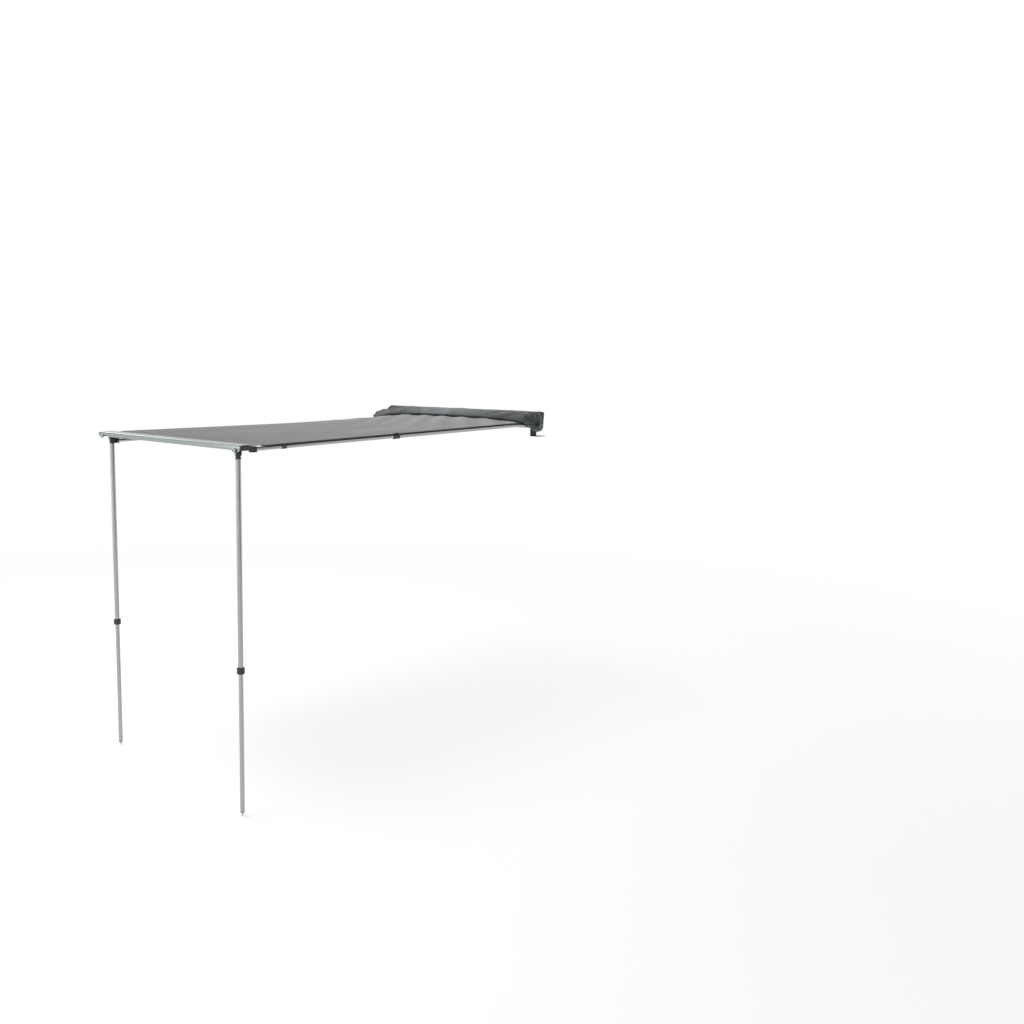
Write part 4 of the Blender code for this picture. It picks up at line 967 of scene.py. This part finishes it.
def flap_points(rows, columns):
    """The flap as a grid, rows along its line and columns along the rail, with its coordinates and tone.

    The front edge lies on the canopy and sinks with its slack at both ends, and the crown sinks less. Past
    the brackets the rear edge is drawn in against the rail. On the line lie broad swells, sharp crumples that
    fade over the rail's top, and four long creases: each is a groove with a ridge beside it, both bell curves
    of the distance to a slanted line. The tone holds painted highlights on the crests, painted shade in the
    hollows and along a slanted fold, and painted sheen in slanted bands; it is pale on a stretch left of the
    middle and darker towards both ends.
    """
    settings = bpy.context.scene.awning_cover
    line = cover_line(rows)
    slope = unit(np.gradient(line, axis=0))
    outward = np.stack([-slope[:, 1], slope[:, 0]], -1)
    s, along = np.meshgrid(run_along(line), np.linspace(FLAP_LOW[0], FLAP_HIGH[0], columns), indexing="ij")
    y, z = (np.repeat(line[:, k : k + 1], columns, axis=1) for k in (0, 1))
    forward = smooth_step((RAIL_LOW[1] - 0.012 - y) / 0.045)
    left = settings.left_drop * smooth_step(0.35 - along)
    u = np.clip(along / HALF_WIDTH, -1.0, 1.0)
    slack = canopy_height(0.0, LIP_SHARE_OF_FLAP, 0.0) - canopy_height(u, LIP_SHARE_OF_FLAP, 0.0)
    high = smooth_step((z - line[0, 1]) / 0.040)
    held = np.where(along < 0.0, 0.50, 0.40)
    z = z - forward * (slack * (1.0 - high + held * high) + left * high)
    tight = smooth_step((np.abs(along) - 0.655) / 0.030)
    y = y - 0.75 * tight * np.maximum(y, 0.0)
    swell = 0.0030 * (lattice_noise(along / 0.21, s / 0.12, 11) - 0.5)
    swell = swell + 0.0016 * np.sin(2 * np.pi * along / 0.275)
    fine = settings.crumple * (crumpled(along, s, 0.115, 21) - 0.12)
    creases = 0.0
    for start, slant, depth in CREASES:
        away = (along - start) - slant * (s - 0.08)
        ridge = 0.6 * depth * np.exp(-(((away - 0.014) / 0.011) ** 2))
        creases = creases - depth * np.exp(-((away / 0.0075) ** 2)) + ridge
    share = (0.15 + 0.85 * forward) * (0.25 + 0.75 * smooth_step(s / 0.03))
    relief = np.clip(share * (swell + fine + creases), -0.0055, 0.0075)
    points = np.stack([along, y + relief * outward[:, :1], z + relief * outward[:, 1:]], -1)
    # Tone: painted highlights and shade from the relief, painted shade along a slanted fold, painted sheen
    # bands, a pale stretch, darker ends
    pale_patch = np.exp(-(((along + 0.05 - 0.5 * (s - 0.10)) / 0.20) ** 2))
    dark_ends = smooth_step((along - 0.26) / 0.28) + 0.80 * smooth_step((-0.26 - along) / 0.12)
    furrow_shade = np.exp(-(((along + 0.34 - 0.7 * (s - 0.10)) / 0.045) ** 2))
    painted_light_streaks = crumpled(0.5 * along + 0.6 * s, 1.2 * s - 0.35 * along, 0.080, 87)
    tone = 0.34 + 0.42 * pale_patch - 0.32 * dark_ends - 0.16 * furrow_shade + (0.24 - 0.14 * dark_ends) * painted_light_streaks + 16.0 * relief
    return points, np.stack([along, s], -1), np.clip(tone, 0.0, 1.0)


def end_rim(word, count):
    """The rim of a gathered end: evenly spaced points on the flap's own edge and on a drooping edge below."""
    low = low_high("cover_end_" + word)[0]
    drop, front = low[2], low[1]
    edge = flap_points(*FLAP_GRID)[0][:, -1 if word == "right" else 0]
    tip = edge[0, 2]
    bottom = [
        (edge[-1, 1] * 0.8, drop * 0.30),
        (0.002, drop * 0.72),
        (front * 0.08, drop * 0.94),
        (front * 0.33, drop),
        (front * 0.52, min(drop * 0.74, tip - 0.020)),
        (front * 0.74, min(drop * 0.34, tip - 0.012)),
        (front * 0.93, min(drop * -0.02, tip - 0.004)),
    ]
    loop = np.vstack([edge[:, 1:], rounded(bottom, 0.02, 5), edge[:1, 1:]])
    run = run_along(loop)
    even = np.linspace(0.0, run[-1], count + 1)[:-1]
    return np.column_stack([np.full(count, edge[0, 0]), read_at(even, run, loop)])


def gathered_end(word, side):
    """A cover end: a pillow of rings that shrink from the rim to a knot, with folds drawn into the knot.

    A ring's size is a power of an angle's cosine and its reach outwards is a power of the sine. A fold is a
    raised cosine round the ring, made narrow by a power, whose angle wanders from ring to ring and whose
    height differs from fold to fold. Crumples lie on top. Everything eases out at the knot, where the last
    ring is one point. The tone is painted shade in the folds and a painted highlight on their crests.
    """
    settings = bpy.context.scene.awning_cover
    rows, columns = END_GRID
    rim = end_rim(word, columns)
    low, high = low_high("cover_end_" + word)
    seed = 41 if side > 0 else 61
    share = np.linspace(0.0, 1.0, rows)[:, None]
    angle = share * np.pi / 2
    closing = smooth_step((1.0 - share) / 0.06)
    knot = np.array([FLAP_LOW[1] * 0.37, low[2] * 0.42])
    turn = turns(columns)[None]
    wander = 0.16 * np.sin(2 * turn + 3 * share + seed) + 0.08 * np.sin(5 * turn - 6 * share)
    wave = 0.5 + 0.5 * np.cos(settings.gathers * (turn + wander))
    uneven = 0.55 + 0.45 * np.cos(3 * turn + seed) * np.cos(2 * turn - 0.7)
    rise = smooth_step(share / 0.10) * (1.0 - 0.55 * share) * closing
    fold = settings.gather_depth * uneven * (wave**1.5 - 0.4) * rise
    flat = knot + (rim[:, 1:] - knot)[None] * np.cos(angle)[..., None] ** 0.95
    crumple = 0.0060 * crumpled(flat[..., 0] + 0.3, flat[..., 1] * 1.2, 0.070, seed)
    crumple = crumple * smooth_step(share / 0.12) * closing
    behind = 1.0 - 0.75 * smooth_step((flat[..., 0] + 0.055) / 0.075)
    dome = (high[0] - low[0]) * np.sin(angle) ** 0.80 * behind
    tuck = 0.010 * np.exp(-(((1 - share) / 0.13) ** 2))
    relief = np.clip(fold + crumple, -0.009, 0.009)
    out = rim[None, :, 0] + side * (dome - tuck + relief)
    inwards = (knot - flat) / np.maximum(np.linalg.norm(knot - flat, axis=-1, keepdims=True), 1e-6)
    drawn = flat + inwards * (0.5 * np.clip(-fold, 0.0, 0.006))[..., None]
    points = np.concatenate([out[..., None], drawn], -1)
    uv = spread(np.linspace(0.0, END_RIM_RUN, columns + 1), share[:, 0] * END_REACH)
    # Painted shade in the folds and painted highlights on their crests, from the relief
    tone = np.clip(0.21 + 15.0 * relief, 0.0, 1.0)
    name = "cover_end_" + word + "_gathers"
    return grid_mesh(name, points, around=True, uv=uv, facing=(side, 0, 0), tone=tone)


def rim_piping(word, side):
    """The piping where a gathered end is sewn to the flap."""
    path = end_rim(word, 300) + side * 0.0008 * X_AXIS
    ahead = unit(np.roll(path, -1, axis=0) - np.roll(path, 1, axis=0))
    name = "cover_end_" + word + "_piping"
    mesh = sweep(name, path, X_AXIS, np.cross(ahead, X_AXIS), circle(PIPING_RADIUS, 12), closed=True)
    piece(painted(mesh, PIPING_TONE), "cover_tarpaulin", "root", slot="webbing")


def lip_trim():
    """What the flap's front edge carries: its binding, a row of stitches, the zip's teeth and small tabs."""
    points = flap_points(*LIP_GRID)[0]
    edge, inside = points[0], unit(points[4] - points[0])
    across = unit(np.cross(np.gradient(edge, axis=0), inside))
    outline = box_outline(0.0034, 0.0070, 0.0014) + (0.0, 0.0006)
    piece(sweep("cover_flap_binding", edge, across, inside, outline), "binding_webbing", "root")
    line = edge + 0.0024 * across + 0.003 * inside
    stitches("cover_flap_stitches", line, across, LIP_PITCH, "dark_thread")
    places = np.arange(edge[0, 0] + 0.004, edge[-1, 0] - 0.004, ZIP_PITCH)
    teeth = read_at(places, edge[:, 0], edge) + (0.0, 0.0008, -0.0042)
    axes = np.tile([Y_AXIS, X_AXIS, Z_AXIS], (len(places), 1, 1))
    zip_teeth = repeated("cover_zip_teeth", pebble(0.0050, 0.0017, 0.0022), teeth, axes)
    piece(zip_teeth, "moulded_nylon", "root", sharp=1.2)
    bend = rounded([(0.0036, 0.0080), (-0.0034, 0.0024), (-0.0046, -0.0034), (-0.0120, -0.0044)], 0.004, 6)
    bend = np.column_stack([np.zeros(len(bend)), bend])
    up = np.cross(unit(np.gradient(bend, axis=0)), X_AXIS)
    for count, x in enumerate(TAB_PLACES):
        path = read_at(x, edge[:, 0], edge) + bend
        tab = sweep(f"cover_tab_{count + 1}", path, X_AXIS, up, box_outline(TAB_WIDTH, 0.0014, 0.0005))
        piece(tab, "black_webbing", "root")


class AWNING_OT_cover(bpy.types.Operator):
    """Make the crumpled flap, its gathered ends, the bound front edge with its zip and the tabs under it"""

    bl_idname = "awning.cover"
    bl_label = "Cover"

    def execute(self, context):
        look = {"sharp": 1.2, "wall": context.scene.awning_cover.thickness}
        points, uv, tone = flap_points(*FLAP_GRID)
        mesh = grid_mesh("cover_flap_cloth", points, uv=uv, facing=(0, -0.3, 1), tone=tone)
        flap = piece(mesh, "cover_tarpaulin", "root", ("cover_flap",), **look)
        for word, side in SIDES:
            end = piece(gathered_end(word, side), "cover_tarpaulin", "root", ("cover_end_" + word,), **look)
            rim_piping(word, side)
        lip_trim()
        return {"FINISHED"}


# Rail and brackets


class AWNING_OT_rail(bpy.types.Operator):
    """Finish the mounting rail, its end caps, the rack brackets, their bolts and nuts, and the arm hinges"""

    bl_idname = "awning.rail"
    bl_label = "Rail and brackets"

    def execute(self, context):
        refined("mounting_rail", "anodised_extrusion", "root", 0.0003)
        for word, _ in SIDES:
            refined("rail_cap_" + word, "moulded_nylon", "root", 0.0010)
            refined("rack_bracket_" + word, "black_powder_coat", "root", 0.0008)
            refined("hinge_bracket_" + word, "black_powder_coat", "root", 0.0006)
            for level in ("lower", "upper"):
                refined(f"bracket_bolt_{word}_{level}", "zinc_plate", "root", 0.0004)
                refined(f"bracket_nut_{word}_{level}", "zinc_plate", "root", 0.0004)
            refined("hinge_pin_" + word, "zinc_plate", "root", 0.0005)
        return {"FINISHED"}


# Front bar


def cast_knuckle(word):
    """The cast block on the bar's front: a superellipsoid, each signed sine and cosine raised to a power."""
    low, high = low_high("bar_knuckle_" + word)
    tilt = np.linspace(-np.pi / 2, np.pi / 2, 41)[1:-1, None]
    turn = turns(80)[None]
    waves = (np.cos(tilt), np.cos(turn), np.sin(turn), np.sin(tilt))
    girth, x, y, z = (np.sign(wave) * np.abs(wave) ** KNUCKLE_POWER for wave in waves)
    shape = np.stack(np.broadcast_arrays(girth * x, girth * y, z), -1)
    points = (low + high) / 2 + shape * (high - low) / 2
    return grid_mesh("bar_knuckle_" + word + "_cast", points, around=True, caps=True)


class AWNING_OT_front_bar(bpy.types.Operator):
    """Finish the front bar, its end caps, the arm saddles, the cast knuckles and the leg hinges"""

    bl_idname = "awning.front_bar"
    bl_label = "Front bar"

    def execute(self, context):
        refined("front_bar", "anodised_extrusion", "bar", 0.0004)
        x = np.linspace(BAR_LOW[0] + 0.001, BAR_HIGH[0] - 0.001, 40)
        path = (0.0, BAR_LOW[1] + 0.0012, BAR_LOW[2] + NOTCH_MID_Z) + x[:, None] * X_AXIS
        seal = sweep("front_bar_seal", path, Y_AXIS, Z_AXIS, box_outline(0.0020, 0.0019, 0.0004))
        piece(seal, "moulded_nylon", "bar")
        for word, _ in SIDES:
            refined("bar_cap_" + word, "moulded_nylon", "bar", 0.0010)
            refined("arm_saddle_" + word, "black_anodised", "bar", 0.0005)
            refined("leg_block_" + word, "moulded_nylon", "bar", 0.0009)
            refined("leg_pin_" + word, "zinc_plate", "bar", 0.0004)
            piece(cast_knuckle(word), "anodised_extrusion", "bar", ("bar_knuckle_" + word,))
        return {"FINISHED"}


# Arms and legs


def measured(node, place):
    """A turned node's greatest radius and its reach along place's -Z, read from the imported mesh."""
    origin, axes = place
    mesh = frame["nodes"][node].data
    points = np.zeros(len(mesh.vertices) * 3)
    mesh.vertices.foreach_get("co", points)
    x, y, z = ((points.reshape(-1, 3) - origin) @ axes).T
    return float(np.hypot(x, y).max()), float(-z.max()), float(-z.min())


def straight_tube(node, place, finish, body):
    """A drawn tube with eased ends, in place of a packed one."""
    outer, start, end = measured(node, place)
    inner = outer - TUBE_WALL
    cut = rounded([(outer, -start), (outer, -end), (inner, -end), (inner, -start)], 0.0003, 3, closed=True)
    piece(lathe(node + "_drawn", cut, place, closed=True), finish, body, (node,), sharp=0.6)


def twist_collar(node, place, tube_radius):
    """A twist collar: its cut has rounded shoulders, a groove near each end and a straight grip between.

    The grip's ribs have their full depth between the two grooves and fade out just before them.
    """
    outer, start, end = measured(node, place)
    inner, waist = tube_radius + GAP, outer - COLLAR_WAIST
    sixth = (end - start) / 6
    shoulder = [(inner, 0.0), (outer - 0.0012, 0.0), (outer, 0.0016), (outer, sixth)]
    groove = [(waist, sixth + 0.0008), (waist, sixth + 0.0018), (outer, sixth + 0.0026)]
    half = np.array(shoulder + groove)
    corners = np.vstack([half * (1.0, -1.0) - (0.0, start), half[::-1] - (0.0, end)])
    cut = rounded(corners, 0.0006, 3, closed=True)
    depth = -cut[:, 1]
    grip_start, grip_end = start + half[-1, 1], end - half[-1, 1]
    share = smooth_step((depth - grip_start) / 0.002) * smooth_step((grip_end - depth) / 0.002)
    ripple = (COLLAR_RIBS * 2, RIB_DEPTH, share * (cut[:, 0] > cut[:, 0].mean()))
    mesh = lathe(node + "_grip", cut, place, closed=True, ripple=ripple, segments=COLLAR_RIBS * 16)
    piece(mesh, "moulded_nylon", node, (node,), sharp=0.6)


def telescope(outer_tube, inner_tube, collar, place, finish, outer_body, inner_body):
    """Two tubes that slide in each other and the twist collar that locks them, a body of the same name."""
    straight_tube(outer_tube, place, finish, outer_body)
    straight_tube(inner_tube, place, finish, inner_body)
    twist_collar(collar, place, measured(outer_tube, place)[0])


class AWNING_OT_arms(bpy.types.Operator):
    """Make each arm's tubes, ribbed twist collar, root eye and tip plug"""

    bl_idname = "awning.arms"
    bl_label = "Arms"

    def execute(self, context):
        for word, _ in SIDES:
            place = axis_frame(JOINTS["arm_swing_" + word]["pos_m"], SLOPE_AXIS)
            arm, inner = "arm_" + word, "arm_inner_" + word
            outer_tube, inner_tube = "arm_outer_tube_" + word, "arm_inner_tube_" + word
            refined("arm_root_" + word, "moulded_nylon", arm, 0.0008)
            telescope(outer_tube, inner_tube, "arm_collar_" + word, place, "arm_tube_aluminium", arm, inner)
            node = "arm_tip_" + word
            radius, _, end = measured(node, place)
            start = measured(inner_tube, place)[2] + GAP
            face = [(0.004, -start), (radius, -start)]
            nose = [(radius, -end + 0.002), (radius - 0.003, -end), (0.0005, -end)]
            plug = lathe(node + "_plug", rounded(face + nose, 0.0012, 5), place)
            piece(plug, "moulded_nylon", inner, (node,))
        return {"FINISHED"}


class AWNING_OT_legs(bpy.types.Operator):
    """Make each leg's waisted cup, tubes, ribbed twist collar, foot and spike with its disc"""

    bl_idname = "awning.legs"
    bl_label = "Legs"

    def execute(self, context):
        for word, _ in SIDES:
            place = axis_frame(JOINTS["leg_fold_" + word]["pos_m"], Z_AXIS)
            leg, lower = "leg_" + word, "leg_lower_" + word
            upper_tube, lower_tube = "leg_upper_tube_" + word, "leg_lower_tube_" + word
            refined("leg_yoke_" + word, "moulded_nylon", leg, 0.0006)
            top = GAP - measured(upper_tube, place)[1]
            neck = [(0.0085, -0.0118), (0.0106, -0.0118), (0.0108, -0.0140), (0.0139, -0.0196)]
            rim = [(0.0142, -0.0212), (0.0142, top), (0.0085, top)]
            piece(lathe("leg_cup_" + word, rounded(neck + rim, 0.0022, 6), place), "moulded_nylon", leg)
            telescope(upper_tube, lower_tube, "leg_collar_" + word, place, "leg_tube_aluminium", leg, lower)
            refined("leg_foot_" + word, "moulded_nylon", lower, 0.0005)
            node = "leg_spike_" + word
            radius, start, end = measured(node, place)
            disc = -measured("leg_foot_" + word, place)[2]
            shank = 0.0034
            stem = [(0.0005, -start), (shank, -start), (shank, disc - 0.0075), (radius, disc - 0.0082)]
            point = [(shank * 0.95, -end + 0.006), (0.0024, -end), (0.0004, -end)]
            outline = stem + [(radius, disc - 0.0102), (shank, disc - 0.0108)] + point
            spike = lathe(node + "_turned", rounded(outline, 0.0005, 3), place, segments=36)
            piece(spike, "zinc_plate", lower, (node,), sharp=0.6)
        return {"FINISHED"}


# Stage


def direct_rays(tree):
    """1 for a ray from the camera, or one that a mirror or glass sends on, and 0 for the rest."""
    path = add_node(tree, "ShaderNodeLightPath").outputs
    seen = path["Is Camera Ray"]
    for ray in ("Is Glossy Ray", "Is Transmission Ray"):
        seen = add_node(tree, "ShaderNodeMath", {"operation": "MAXIMUM"}, i0=seen, i1=path[ray]).outputs[0]
    return seen


def pale_floor():
    """A pale floor that keeps the shadow near the awning and fades to plain white further out.

    For camera, mirror and glass rays a little light is added to its colour, so that lit floor is white.
    """
    recipe = Recipe("pale_floor", (0.93, 0.93, 0.93), 0.9, Specular_IOR_Level=0.0)
    strength = recipe.math("MULTIPLY", direct_rays(recipe.tree), FLOOR_LIFT)
    lift = recipe.add("ShaderNodeEmission", Strength=strength).outputs[0]
    lit = recipe.add("ShaderNodeAddShader", i0=recipe.shader.outputs[0], i1=lift).outputs[0]
    where = recipe.add("ShaderNodeTexCoord").outputs["Object"]
    away = recipe.add("ShaderNodeVectorMath", {"operation": "LENGTH"}, i0=where).outputs["Value"]
    white = recipe.add("ShaderNodeEmission", Strength=1.0).outputs[0]
    share = recipe.span(away, 0.0, 1.0, *FLOOR_FADE)
    mix = recipe.add("ShaderNodeMixShader", i0=share, i1=lit, i2=white).outputs[0]
    recipe.tree.links.new(mix, recipe.tree.nodes["Material Output"].inputs["Surface"])
    return recipe.material


def even_sky(strength):
    """A white world: plain white for direct rays, and of the given strength as light on the object."""
    world = bpy.data.worlds.new("studio")
    world.use_nodes = True
    tree = world.node_tree
    level = add_node(tree, "ShaderNodeMapRange", Value=direct_rays(tree), i3=strength, i4=1.0).outputs[0]
    background = tree.nodes["Background"]
    background.inputs["Color"].default_value = (1.0, 1.0, 1.0, 1.0)
    tree.links.new(level, background.inputs["Strength"])
    return world


def stage_flat(name, x, y, z, facing, material):
    """A large plain surface on a grid, with its material."""
    mesh = grid_mesh(name, np.stack([x, y, z], -1), facing=facing)
    mesh.materials.append(material)
    made = linked(name, mesh)
    return made


def area_light(name, strength, size, place, target):
    """A large soft lamp at place that points to target."""
    data = bpy.data.lights.new(name, "AREA")
    data.energy = strength
    data.shape = "RECTANGLE"
    data.size, data.size_y = size
    lamp = linked(name, data)
    lamp.location = place
    lamp.rotation_euler = (Vector(target) - Vector(place)).to_track_quat("-Z", "Y").to_euler()


class AWNING_OT_stage(bpy.types.Operator):
    """Make the pale floor, the white surroundings, three soft lamps, a grey flat and the camera"""

    bl_idname = "awning.stage"
    bl_label = "Stage"

    def execute(self, context):
        scene = context.scene
        settings = scene.awning_stage
        ground = CAD_BOX[0][2]
        across = np.linspace(-30.0, 30.0, 13)
        y, x = np.meshgrid(across, across, indexing="ij")
        floor = stage_flat("floor", x, y, 0 * x, (0, 0, 1), pale_floor())
        floor.location = (0.0, -1.6, ground)
        z, y = np.meshgrid(np.linspace(ground + 0.02, 3.4, 3), np.linspace(-3.2, 1.4, 3), indexing="ij")
        grey = Recipe("grey_flat", (0.10, 0.10, 0.10), 0.9).material
        flat = stage_flat("grey_flat", 7.2 + 0.25 * (y + 1.0), y, z, (-1, 0, 0), grey)
        flat.visible_camera = False
        scene.world = even_sky(settings.sky)
        area_light("overhead", settings.key, (3.2, 2.0), (-0.6, -3.0, 4.0), STAGE_MIDDLE)
        area_light("front", settings.front, (3.0, 1.4), (-4.5, -2.8, 2.1), (0.0, -2.2, -0.1))
        area_light("side", settings.side, (0.8, 3.6), (-2.2, -6.3, 0.0), STAGE_MIDDLE)
        data = bpy.data.cameras.new("camera")
        data.lens = settings.lens
        data.sensor_width = 36.0
        data.clip_end = 200.0
        camera = linked("camera", data)
        axes = (CAMERA_RIGHT, CAMERA_UP, CAMERA_RIGHT.cross(CAMERA_UP))
        camera.matrix_world = Matrix.Translation(CAMERA_PLACE) @ Matrix(axes).transposed().to_4x4()
        scene.camera = camera
        scene.view_settings.view_transform = "Standard"
        return {"FINISHED"}


# Sidebar and registration


SETTINGS = {
    "awning_finish": AwningFinishSettings,
    "awning_canopy": AwningCanopySettings,
    "awning_cover": AwningCoverSettings,
    "awning_stage": AwningStageSettings,
}
STEPS = {
    "awning_finish": (AWNING_OT_rail, AWNING_OT_front_bar, AWNING_OT_arms, AWNING_OT_legs),
    "awning_canopy": (AWNING_OT_canopy,),
    "awning_cover": (AWNING_OT_cover,),
    "awning_stage": (AWNING_OT_stage,),
}


class AWNING_PT_panel(bpy.types.Panel):
    """The awning's settings and steps"""

    bl_idname = "AWNING_PT_panel"
    bl_label = "Side awning"
    bl_space_type = "VIEW_3D"
    bl_region_type = "UI"
    bl_category = "Awning"

    def draw(self, context):
        for group, steps in STEPS.items():
            settings = getattr(context.scene, group)
            box = self.layout.box()
            box.label(text=" and ".join(step.bl_label for step in steps))
            for key in settings.__annotations__:
                box.prop(settings, key)
            for step in steps:
                box.operator(step.bl_idname)


CLASSES = (*SETTINGS.values(), *(step for steps in STEPS.values() for step in steps), AWNING_PT_panel)


def register():
    """Every class, and the four groups of settings on the scene."""
    for item in CLASSES:
        bpy.utils.register_class(item)
    for name, group in SETTINGS.items():
        setattr(bpy.types.Scene, name, bpy.props.PointerProperty(type=group))


def unregister():
    """What register added, taken away again."""
    for name in SETTINGS:
        delattr(bpy.types.Scene, name)
    for item in reversed(CLASSES):
        bpy.utils.unregister_class(item)


def main():
    """Every step in order."""
    register()
    bpy.ops.awning.rail()
    bpy.ops.awning.front_bar()
    bpy.ops.awning.arms()
    bpy.ops.awning.legs()
    bpy.ops.awning.canopy()
    bpy.ops.awning.cover()
    bpy.ops.awning.stage()
    bpy.context.view_layer.update()


if __name__ == "__main__":
    main()
